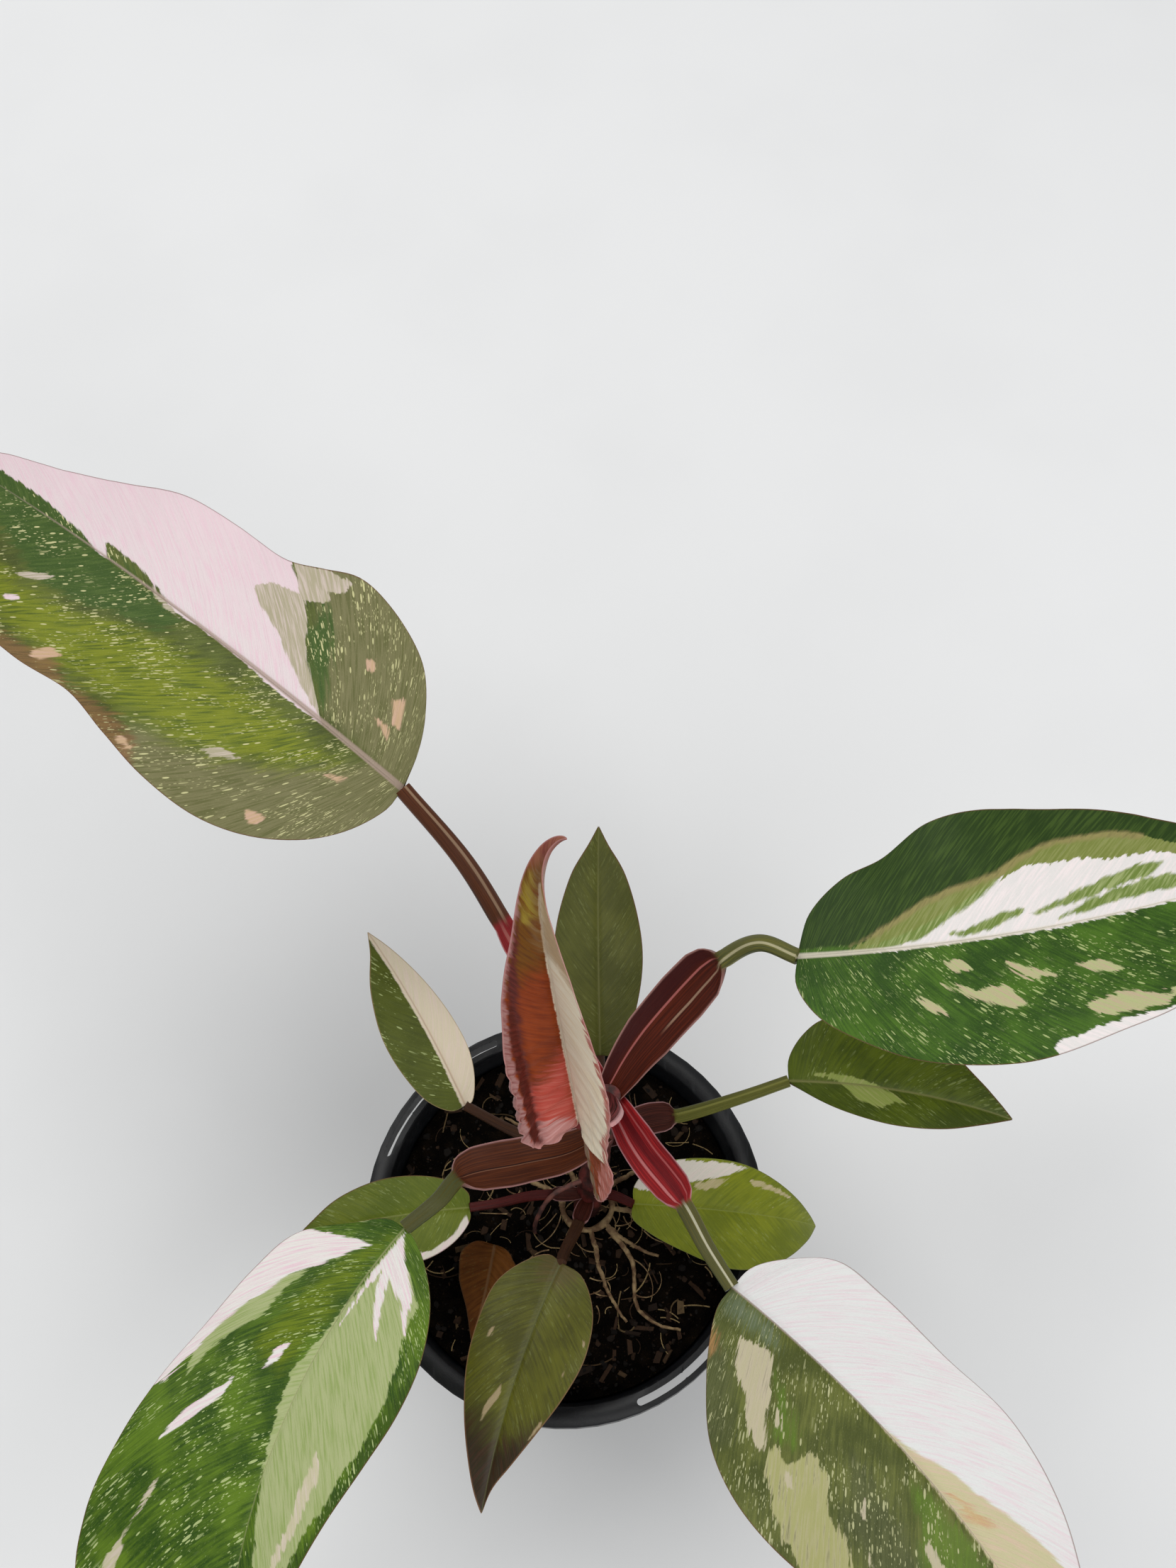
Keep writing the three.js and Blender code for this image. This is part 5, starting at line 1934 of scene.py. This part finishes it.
BACK_LEFT_COATS: tuple[Coat, ...] = (
    Coat("grey", (0.17, 0.16, 0.07), (0.11, 0.112, 0.036),
         (((-6, -4), (8, -36), (24, -44), (70, -44), (50, -20), (30, -2), (12, 0), (17, 6), (28, 17),
           (43, 25.5), (55, 30), (67, 33), (70, 60), (-12, 40)),),
         edge=3.0, flecked=True),
    Coat("flush", (0.2, 0.23, 0.01), (0.09, 0.13, 0.006),
         (((17, 5.5), (27.5, 6.5), (37, 6), (51, 7), (66, 8), (80, 9.5), (92, 13), (107, 18.5), (124, 21),
           (146, 20), (160, 14), (150, 28), (124, 33), (96, 33), (81, 33), (66, 30), (55, 29), (47, 27),
           (38.5, 21.5), (28, 16.5)),),
         edge=4.0, cover=0.85, flecked=True, ragged=1.8, mottle=0.5),
    Coat("green", (0.04, 0.08, 0.012), (0.065, 0.11, 0.02),
         (((84, 9), (80, 3), (92, 1), (120, -2), (150, -5), (174, -5), (170, 4), (130, 17), (108, 15)),
          ((31, -2), (40, -8), (50, -16), (52, -26), (44, -22), (38, -12))),
         edge=1.5, flecked=True),
    Coat("brown", (0.22, 0.11, 0.045), (0.13, 0.07, 0.03),
         (((59, 42), (66, 35), (82, 33.5), (94, 35), (103, 31.5), (110, 34), (126, 36), (150, 30), (160, 60),
           (50, 60)),),
         edge=1.6, cover=0.75, flecked=True),
    Coat("white", (0.69, 0.605, 0.61), PINK_WHITE,
         (((28.5, 0.6), (36, 1.2), (46.8, 1.4), (61, 0.4), (75, 0.4), (86.6, 1.4), (91.4, -0.7),
           (97.2, -1.9), (104.9, -3.2), (111.8, -3.6), (118.6, -3.7), (113.3, 0.5), (115.5, 1.1),
           (120.5, -0.3), (127.5, -1.5), (143.7, -3.6), (170, -4.2), (197, 1), (190, -14), (150, -26),
           (120, -36), (74, -40), (69, -29.3), (63.6, -26.9), (57.5, -23.3), (51.2, -17.4), (44.2, -9.6),
           (37.4, -5.7)),
          ((124, 24.4), (127, 26.8), (131.4, 27), (126, 24))),
         ragged=0.22, blush=0.5),
    Coat("tan", (0.38, 0.34, 0.23), (0.55, 0.46, 0.4),
         (((71.8, -17.2), (69, -21.8), (63.2, -23), (57.5, -23.8), (51.2, -17.6), (44.2, -9.8), (37.4, -6),
           (30, -0.6), (39.8, -3.4), (48, -7.4), (57.2, -11.7), (65, -14.5)),
          ((68.4, -30.5), (59.4, -34), (50.9, -35.5), (50, -31.4), (54, -29.3), (51.4, -27.6), (54.5, -24.2),
           (57.2, -22.2), (62, -25.6)),
          ((135, 19.8), (129, 16.3), (121, 13.5), (125.6, 17.8)),
          ((49.4, 27), (45, 23.2), (38.4, 21.6), (44.8, 26.4)), ((82, 2), (91, 1.6), (96, -0.8), (88, 0.4))),
         ragged=0.3),
    Coat("salmon", (0.5, 0.34, 0.2), (0.55, 0.36, 0.26),
         (((18.8, -10), (12, -7), (13.9, -10.2)), ((27.4, 31.2), (22, 28.9), (21.6, 32.2), (24.9, 33.4)),
          ((18.9, -16.7), (16.4, -19), (11.6, -11.5), (14.3, -11.3)),
          ((32.3, -20.9), (29.8, -22.5), (27.8, -19.5), (29.6, -18.4)),
          ((109, 35), (105.2, 29.8), (100.8, 30), (106, 35.8)),
          ((62, 38.4), (66, 39.6), (72, 38), (67, 37.2)), ((18.5, 11), (12.3, 7.2), (13.9, 10.3))),
         ragged=0.3, edge=0.4),
)


def leaves() -> list[Blade]:
    """The plant's blades.

    Returns:
        The blades, the large ones first.
    """
    right = Blade(
        "blade_right", base=(67, 50, 188), heading=-1, sweep=23, pitch=2, droop=22, length=156,
        half_width=35, wave=(1.2, 46, 20),
        left=Half(((4, 11), (14, 20), (26, 25), (42, 34), (64, 35), (92, 30), (120, 19), (142, 7))),
        right=Half(((-1, 8), (4, 17), (14, 24), (30, 31), (52, 34.5), (78, 31), (96, 28), (118, 19),
                    (140, 8))),
        skin=Skin(green=(0.06, 0.135, 0.012), deep=(0.02, 0.055, 0.006), rib=(0.6, 0.55, 0.45),
                  rib_width=0.9),
        coats=RIGHT_COATS,
    )
    front_right = Blade(
        "blade_front_right", base=(44, -31, 166), heading=-42, sweep=-22, pitch=0, droop=28, length=152,
        half_width=38, wave=(1, 52, 120),
        left=Half(((1, 7), (8, 16), (17, 23), (30, 24), (50, 24), (72, 26), (95, 22), (118, 13.5),
                   (138, 5.5))),
        right=Half(((0, 6), (3, 13), (9, 22), (20, 33), (34, 39), (52, 40.5), (74, 37), (96, 29), (120, 17),
                    (140, 6))),
        skin=Skin(green=(0.125, 0.14, 0.03), deep=(0.055, 0.068, 0.012), rib=(0.4, 0.3, 0.27), rib_width=0.3,
                  fleck=(0.42, 0.42, 0.22)),
        coats=FRONT_RIGHT_COATS,
    )
    front_left = Blade(
        "blade_front_left", base=(-41, -10, 160), heading=-134, sweep=46, pitch=0, droop=26, length=152,
        half_width=38, wave=(1, 50, 200),
        left=Half(((0, 3), (4, 11), (12, 19), (26, 25), (42, 26.5), (60, 24), (78, 19.5), (96, 14.5),
                   (114, 9), (136, 4))),
        right=Half(((1, 5), (7, 11), (18, 22), (30, 26), (44, 29.5), (60, 35), (76, 39.5), (92, 43),
                    (106, 42), (122, 33), (141, 11))),
        skin=Skin(green=(0.1, 0.175, 0.012), deep=(0.022, 0.058, 0.005), rib=(0.36, 0.36, 0.18),
                  rib_width=0.3, fleck=(0.4, 0.47, 0.2)),
        coats=FRONT_LEFT_COATS,
    )
    back_left = Blade(
        "blade_back_left", base=(-34, 97, 206), heading=136, sweep=2, pitch=4, droop=26, length=196,
        half_width=40, wave=(1.6, 58, 60),
        left=Half(((-1, 7), (3, 19), (10, 28), (22, 36), (38, 41), (56, 42), (74, 39.5), (92, 36.5),
                   (112, 38.5), (134, 37), (160, 29), (182, 11))),
        right=Half(((3, 9), (9, 19), (20, 30), (36, 36.5), (50, 38), (60, 34), (70, 30), (90, 29.5),
                    (110, 27.5), (130, 20.5), (150, 14), (176, 8))),
        skin=Skin(green=(0.105, 0.13, 0.024), deep=(0.05, 0.065, 0.012), rib=(0.36, 0.27, 0.22),
                  rib_width=1.1, fleck=(0.5, 0.48, 0.24), flecks=1.0),
        coats=BACK_LEFT_COATS,
    )
    return [right, front_right, front_left, back_left, *small_leaves()]


# Markings of the small blades, each from the lowest up; the young blade's rolled margin has painted shade
# and a painted highlight.
LOW_RIGHT_COATS: tuple[Coat, ...] = (
    Coat("lime", (0.22, 0.27, 0.06), (0.28, 0.3, 0.1),
         (((7, 2), (14, 2.8), (22, 1.5), (30, -1), (34, -3.5), (30, -4), (27, -6), (20, -4.5), (14, 0.5)),),
         ragged=0.3),
)

LOW_BACK_LEFT_COATS: tuple[Coat, ...] = (
    Coat("cream", (0.68, 0.6, 0.44), (0.72, 0.6, 0.5), (((-4, 1), (70, 1), (70, -20), (-4, -20)),),
         ragged=0.1),
)

FRONT_COATS: tuple[Coat, ...] = (
    Coat("tip", (0.02, 0.011, 0.001), (0.036, 0.013, 0.002),
         (((44, 14), (50, 0), (45, -14), (80, -10), (80, 10)),), edge=6.0),
    Coat("base", (0.09, 0.06, 0.016), (0.07, 0.06, 0.012), (((-4, 8), (6, 4), (7, -4), (-4, -8)),), edge=2.0,
         cover=0.7),
    Coat("tan", (0.33, 0.26, 0.14), (0.3, 0.22, 0.12),
         (((36, -3), (39, -2.6), (45, -5), (47.5, -5.9), (42, -5.8)),
          ((15.5, 14), (18, 15.2), (20, 15), (17.5, 14.2)), ((25.5, 12), (28, 12.7), (32, 12.4), (28, 11.8)),
          ((22.5, -10), (25, -10), (26, -11.5), (23.5, -11.3)),
          ((40, 10.7), (44, 10.6), (48.5, 8.2), (44, 9.6)), ((38, 7.2), (39, 6.6), (38.6, 5.6)),
          ((12, 8), (13.4, 8.4), (12.8, 7.4))),
         ragged=0.12),
)

SMALL_RIGHT_COATS: tuple[Coat, ...] = (
    Coat("white", (0.66, 0.62, 0.54), (0.7, 0.62, 0.56),
         (((-2, 4.5), (6, 4), (17, 7.5), (29, 10.5), (35, 13.4), (28, 13.8), (14, 13.6), (4, 12)),),
         ragged=0.25),
    Coat("cream", (0.42, 0.37, 0.18), (0.5, 0.42, 0.25),
         (((35, 9.5), (40, 9.5), (46, 8.2), (52, 6), (44, 7), (36, 8.2)),
          ((17, 4.5), (24, 6), (29, 10), (18, 7)), ((43, 2.6), (46, 3), (44, 2))),
         ragged=0.3),
)

SMALL_LEFT_COATS: tuple[Coat, ...] = (
    Coat("white", (0.62, 0.58, 0.5), PINK_WHITE,
         (((1, 2), (5, 7.5), (12, 11.3), (26, 11.4), (40, 6), (50, 0), (40, 20), (-4, 20)),), ragged=0.12),
)

YOUNG_COATS: tuple[Coat, ...] = (
    Coat("olive", (0.15, 0.055, 0.001), (0.1, 0.032, 0.001),
         (((58, -1), (66, -1), (90, -1), (90, 8), (52, 14)),), edge=5.0),
    Coat("pink", (0.44, 0.06, 0.04), (0.5, 0.11, 0.08),
         (((-10, -1), (26, -1), (20, 6), (16, 14), (-10, 14)),), edge=3.0, ragged=1.4),
    Coat("blush", (0.46, 0.2, 0.18), (0.55, 0.29, 0.27),
         (((-8, -1), (1, 0), (4, 6), (5, 12), (0, 17), (-8, 15)),), edge=1.5),
    Coat("yellow", (0.3, 0.22, 0.02), (0.22, 0.14, 0.015),
         (((72, 0.5), (80, 0.5), (86, 2.5), (78, 4.5), (72, 4.5)),), edge=1.6),
    Coat("tip", (0.3, 0.1, 0.055), (0.22, 0.05, 0.035), (((88, 6), (90, -6), (110, -4), (110, 4)),),
         edge=2.5),
    # Painted shade: the dark red along the crease inside the rolled left margin.
    Coat("crease_painted_shade", (0.07, 0.009, 0.006), (0.12, 0.018, 0.012),
         (((-2, 10.3), (14, 10.2), (40, 9.6), (62, 7), (76, 4.6), (60, 9.8), (40, 13.4), (20, 14.6),
           (0, 14.2)),),
         edge=0.9, ragged=0.4),
    # The rolled margin's own pink, with a painted highlight along its crest.
    Coat("hem_pink_painted_highlight", (0.36, 0.19, 0.18), (0.24, 0.08, 0.075),
         (((-4, 14.4), (20, 14.9), (40, 13.8), (58, 10.2), (74, 5.6), (82, 4.4), (60, 30), (-4, 30)),),
         edge=0.8, ragged=0.5),
    Coat("cream", (0.85, 0.78, 0.61), (0.79, 0.68, 0.49),
         (((-6, 0.2), (30, 0.2), (60, 0.2), (84, 0.2), (80, -7), (62, -14), (40, -20), (20, -22), (2, -17),
           (-6, -14)),),
         edge=0.25, ragged=0.08),
    Coat("brown", (0.33, 0.19, 0.07), (0.42, 0.27, 0.13),
         (((62, 0.4), (90, 0.4), (92, -6), (72, -12), (58, -12)),), edge=4.0, cover=0.75),
    Coat("rose", (0.42, 0.12, 0.09), (0.55, 0.26, 0.22),
         (((-10, -8), (-7, -12), (2, -12.6), (12, -16), (22, -17.6), (36, -16.6), (50, -13), (50, -30),
           (-10, -30)),
          ((-30, -6), (-22, -4), (-14, -5.5), (-9, -10), (-9, -16), (-16, -16), (-30, -10))),
         edge=0.7),
    Coat("lobe", (0.16, 0.1, 0.035), (0.3, 0.2, 0.16),
         (((-7, 2), (-30, 2), (-30, -4), (-18, -3.2), (-7, -2.5)),), edge=0.8),
)


def small_leaves() -> list[Blade]:
    """The smaller, the young and the dry leaves.

    Returns:
        Their blades.
    """
    small = {"rows": 64, "columns": 26, "quilt": 0.06, "quilt_spacing": 4.0}
    low_right = Blade(
        "blade_low_right", base=(67, 29, 132), heading=-5, sweep=-15, pitch=5, droop=20, length=66,
        half_width=20, wave=(0.6, 30, 0),
        left=Half(((0, 6), (4, 13.5), (10, 18.5), (24, 20), (40, 17), (54, 8))),
        right=Half(((1, 1), (9, 5.5), (18, 8.5), (31, 10.3), (46, 8.5), (58, 4))),
        skin=Skin(green=(0.08, 0.11, 0.006), deep=(0.04, 0.06, 0.004), flecks=0.25, rib=(0.2, 0.2, 0.07),
                  rib_width=0.5),
        coats=LOW_RIGHT_COATS, **small,
    )
    low_back_left = Blade(
        "blade_low_back_left", base=(-26, 28, 130), heading=112, sweep=10, pitch=10, droop=25, length=62,
        half_width=13, wave=(0.5, 30, 90), left=Half(((0, 4), (5, 9), (14, 12), (28, 13), (44, 9), (55, 3))),
        right=Half(((0, 2), (5, 5.3), (13, 7.7), (22, 8), (36, 6.5), (52, 3))),
        skin=Skin(green=(0.09, 0.11, 0.014), deep=(0.06, 0.075, 0.01), rib=(0.5, 0.36, 0.25), rib_width=0.4,
                  hem=(0.3, 0.2, 0.1)),
        coats=LOW_BACK_LEFT_COATS, **small,
    )
    front = Blade(
        "blade_front", base=(-1, -17, 125), heading=-119, sweep=15, pitch=-2, droop=14, length=71,
        half_width=17, wave=(0.5, 34, 40),
        left=Half(((1, 7), (9, 14), (22, 16.5), (34, 14.5), (45, 10.5), (56, 5.5), (64, 1.5))),
        right=Half(((-0.5, 4), (4, 9.5), (12, 14.5), (22, 15.3), (34, 14.2), (46, 11), (58, 6.5), (66, 3))),
        skin=Skin(green=(0.1, 0.102, 0.006), deep=(0.052, 0.052, 0.003), flecks=0.12, rib=(0.12, 0.13, 0.05),
                  rib_width=0.3, hem=(0.2, 0.1, 0.05), roughness=0.36, coat=0.2),
        coats=FRONT_COATS, **small,
    )
    small_right = Blade(
        "blade_small_right", base=(20.5, 0, 112), heading=-8, sweep=4, pitch=12, droop=75, length=66,
        half_width=17, wave=(0.5, 32, 10),
        left=Half(((0, 5), (5, 11), (15, 14), (30, 14.5), (45, 10.5), (57, 5))),
        right=Half(((0, 4), (5, 8), (15, 12.5), (30, 16.5), (45, 13.5), (58, 6))),
        skin=Skin(green=(0.21, 0.24, 0.014), deep=(0.13, 0.16, 0.01), flecks=0.2, rib=(0.28, 0.32, 0.08),
                  rib_width=0.25, hem=(0.14, 0.15, 0.04)),
        coats=SMALL_RIGHT_COATS, **small,
    )
    small_left = Blade(
        "blade_small_left", base=(-27, 1.5, 114), heading=182, sweep=5, pitch=5, droop=25, length=52,
        half_width=16, wave=(0.5, 28, 70),
        left=Half(((0, 3.5), (5, 9.5), (14, 13.5), (26, 13.5), (38, 9), (47, 3))),
        right=Half(((0, 4), (5, 8), (13, 10.5), (25, 11), (38, 8), (47, 3))),
        skin=Skin(green=(0.12, 0.15, 0.014), deep=(0.08, 0.11, 0.01), flecks=0.3, rib=(0.24, 0.26, 0.08),
                  rib_width=0.3),
        coats=SMALL_LEFT_COATS, **small,
    )
    back = Blade(
        "blade_back", base=(13.5, 39, 135), heading=88, sweep=-2, pitch=10, droop=25, length=72,
        half_width=13, wave=(0.5, 30, 0),
        left=Half(((0, 4), (5, 8), (14, 11), (27, 13), (40, 12), (55, 8), (65, 3))),
        right=Half(((0, 4), (5, 8), (14, 11), (27, 13), (40, 12), (55, 8), (65, 3))),
        skin=Skin(green=(0.085, 0.09, 0.014), deep=(0.055, 0.06, 0.009), flecks=0.12,
                  rib=(0.14, 0.14, 0.045), rib_width=0.4),
        **small,
    )
    young = Blade(
        "blade_new", base=(7, 11, 180), heading=99, sweep=-165, pitch=56, droop=-8, length=106,
        half_width=22, wave=(0, 40, 0),
        left=Half(((-0.5, 3.5), (-4, 5.5), (-4, 9), (-1.5, 13), (4, 17), (12, 19), (22, 19.2), (32, 18),
                   (41, 16), (50, 13.6), (60, 10.4), (70, 7.2), (80, 5), (90, 3.2), (99, 1.6)),
                  fold=8, curl=20, furl=260),
        right=Half(((-5, 0.8), (-12, 1), (-20, 0.8), (-27, 1), (-26.5, 4), (-20, 9), (-12, 13.5), (-8, 14.5),
                    (-4, 13.2), (2.5, 14.4), (12.5, 18), (22, 19.6), (35, 18), (51, 13.8), (67, 9.5),
                    (76, 7.4), (86, 4.8), (97, 1.6)),
                   fold=66, curl=6, furl=-20),
        late=8,
        skin=Skin(green=(0.26, 0.042, 0.004), deep=(0.15, 0.02, 0.002), flecks=0.0, rib=(0.2, 0.07, 0.03),
                  rib_width=0.15, hem=(0.45, 0.22, 0.21), under=(0.25, 0.1, 0.09), roughness=0.4, coat=0.08),
        coats=YOUNG_COATS, slot=Slot.YOUNG_LEAF, rows=130, columns=40, quilt=0.03, pleat=(0.75, 5.5, 34.0),
        roll=(1.2, 10.3, 15.0), fan=1.7, lean=0.6,
    )
    dry = Blade(
        "leaf_dry", base=(-21.5, -6.5, 92), heading=-103, sweep=-6, pitch=-6, droop=4, length=30,
        half_width=9, wave=(0.9, 13, 0), left=Half(((1, 4), (6, 8), (13, 8), (22, 5)), fold=14, curl=-8),
        right=Half(((0, 6), (4, 10), (11, 9), (21, 4)), fold=22, curl=6),
        skin=Skin(green=(0.2, 0.07, 0.012), deep=(0.1, 0.032, 0.006), flecks=0.1, rib=(0.24, 0.13, 0.06),
                  rib_width=0.5, hem=(0.09, 0.04, 0.015), under=(0.2, 0.12, 0.06), roughness=0.7, coat=0.0),
        slot=Slot.DRY_LEAF, stands_for="leaf_dead", rows=48, columns=20, quilt=0.25, quilt_spacing=3.2,
        pleat=(0.4, 4.0, 30.0),
    )
    return [low_right, low_back_left, front, small_right, small_left, back, young, dry]


def petioles() -> list[Petiole]:
    """The plant's petioles.

    Returns:
        The petioles, the large ones first.
    """
    olive, red = Slot.OLIVE_STALK, Slot.RED_STALK
    cream_stripe = Stripe(-0.25, 0.22, (0.5, 0.46, 0.28), 0.8, on_sheath=False)
    brown = StalkSkin(stalk=(0.075, 0.03, 0.012), stalk_deep=(0.035, 0.014, 0.007))
    dark_red = StalkSkin(stalk=(0.1, 0.012, 0.01), stalk_deep=(0.04, 0.006, 0.005))
    return [
        Petiole(
            "petiole_right",
            path=((16, 27, 142), (24, 36, 150), (36.5, 47, 160), (47.5, 54.5, 171), (58, 55.5, 184),
                  (67, 50, 188)),
            radius=2.5, sheath_until=0.65, sheath_half_width=7.6, rise=2.6, slot=olive,
            skin=StalkSkin(stalk=(0.15, 0.14, 0.025), sheath=(0.088, 0.013, 0.004),
                           sheath_deep=(0.042, 0.006, 0.002), lip=(0.33, 0.17, 0.15),
                           # The broad dark stripe at 0.75 is painted shade on the left side of the sheath's
                           # channel. The other stripes are the sheath's own colours.
                           stripes=(cream_stripe, Stripe(0.75, 0.5, (0.035, 0.004, 0.004), 0.85),
                                    Stripe(0.3, 0.055, (0.36, 0.11, 0.1), 0.85),
                                    Stripe(-0.3, 0.06, (0.36, 0.24, 0.16), 0.7, start=22.0))),
        ),
        Petiole(
            "petiole_front_right",
            path=((16, 25.5, 139.5), (23.5, 8, 151), (33, -8, 161), (38.5, -21, 166), (44, -31, 166)),
            radius=2.4, sheath_until=0.63, sheath_half_width=5.4, rise=2.2, slot=olive,
            skin=StalkSkin(stalk=(0.11, 0.095, 0.02), sheath=(0.38, 0.02, 0.022),
                           sheath_deep=(0.18, 0.008, 0.011), lip=(0.5, 0.25, 0.27),
                           stripes=(Stripe(0.1, 0.2, (0.5, 0.48, 0.34), 0.85, on_sheath=False),
                                    Stripe(-0.35, 0.1, (0.6, 0.22, 0.22), 0.8),
                                    Stripe(0.15, 0.3, (0.09, 0.005, 0.008), 0.7),
                                    Stripe(0.55, 0.06, (0.5, 0.16, 0.16), 0.5))),
        ),
        Petiole(
            "petiole_front_left",
            path=((13, 17.5, 130), (3, 11.5, 138), (-10, 8, 146), (-26, 3.5, 155), (-32, -3.5, 160),
                  (-41, -10, 160)),
            radius=2.4, sheath_until=0.71, sheath_half_width=6.6, rise=2.0, slot=olive,
            skin=StalkSkin(stalk=(0.07, 0.06, 0.008), sheath=(0.088, 0.022, 0.006),
                           sheath_deep=(0.044, 0.01, 0.003), lip=(0.33, 0.17, 0.16),
                           stripes=(Stripe(0.05, 0.03, (0.014, 0.004, 0.003), 0.9),
                                    Stripe(0.1, 0.025, (0.2, 0.1, 0.06), 0.6))),
        ),
        Petiole(
            "petiole_back_left",
            path=((14, 28, 142), (3.5, 44.5, 158), (-8, 61.5, 180), (-19, 78.5, 198), (-34, 97, 206)),
            radius=2.7, sheath_until=0.58, sheath_half_width=3.8, rise=1.2, slot=red,
            skin=StalkSkin(stalk=(0.1, 0.03, 0.008), stalk_deep=(0.045, 0.012, 0.004),
                           sheath=(0.27, 0.016, 0.018), sheath_deep=(0.16, 0.012, 0.014),
                           lip=(0.45, 0.2, 0.2),
                           stripes=(Stripe(-0.3, 0.2, (0.35, 0.24, 0.15), 0.6, on_sheath=False),
                                    Stripe(0.2, 0.2, (0.4, 0.14, 0.12), 0.6))),
        ),
        Petiole(
            "petiole_new", path=((15, 24.5, 145.5), (14, 17, 157), (10.5, 11.5, 170), (7, 11, 180)),
            radius=1.9, sheath_until=0.62, sheath_half_width=4.4, rise=2.2, faces=(0.3, -1, 0.2), slot=red,
            skin=StalkSkin(stalk=(0.25, 0.05, 0.05), stalk_deep=(0.13, 0.02, 0.02), sheath=(0.2, 0.04, 0.04),
                           lip=(0.6, 0.3, 0.3)),
        ),
        Petiole(
            "petiole_low_right",
            path=((12.5, 17, 121), (25, 21.5, 124), (35.5, 22, 127), (52, 25, 131), (67, 29, 132)),
            radius=2.0, sheath_until=0.4, sheath_half_width=4.6, rise=1.6, slot=olive,
            skin=StalkSkin(stalk=(0.13, 0.13, 0.02), stalk_deep=(0.07, 0.075, 0.01),
                           stripes=(Stripe(0.15, 0.2, (0.26, 0.26, 0.06), 0.5, on_sheath=False),)),
        ),
        Petiole(
            "petiole_low_back_left", path=((11, 15, 114), (0, 16.5, 118), (-12.5, 21, 123), (-26, 28, 130)),
            radius=1.6, sheath_until=0.35, sheath_half_width=2.6, rise=0.8, slot=red, skin=brown,
        ),
        Petiole(
            "petiole_front", path=((7.5, 5, 97), (3.5, -5, 106), (0, -13, 117), (-1, -17, 125)), radius=1.8,
            sheath_until=0.3, sheath_half_width=2.6, rise=0.6, slot=red, skin=brown,
        ),
        Petiole(
            "petiole_small_right", path=((9, 6, 100), (15, 3.5, 107), (20.5, 0, 112)), radius=1.5,
            sheath_until=0.4, sheath_half_width=2.2, rise=0.5, slot=red, skin=dark_red,
        ),
        Petiole(
            "petiole_small_left", path=((7, 6, 98), (-9.5, 5, 106), (-19.5, 2.5, 112), (-27, 1.5, 114)),
            radius=1.5, sheath_until=0.3, sheath_half_width=2.2, rise=0.5, slot=red, skin=dark_red,
        ),
        Petiole(
            "petiole_back", path=((12.5, 18.5, 123), (13.5, 30.5, 131), (13.5, 39, 135)), radius=1.6,
            sheath_until=0.3, sheath_half_width=2.4, rise=0.6, slot=red, skin=brown,
        ),
    ]


def main() -> None:
    """Builds the studio and the plant."""
    logging.basicConfig(level=logging.INFO, format="%(name)s: %(message)s")
    Studio().build()
    Pot().build()
    Soil().build()
    Stem().build()
    Roots().build()
    for petiole in petioles():
        petiole.build()
    for blade in leaves():
        blade.build()
    bpy.context.view_layer.update()


if __name__ == "__main__":
    main()
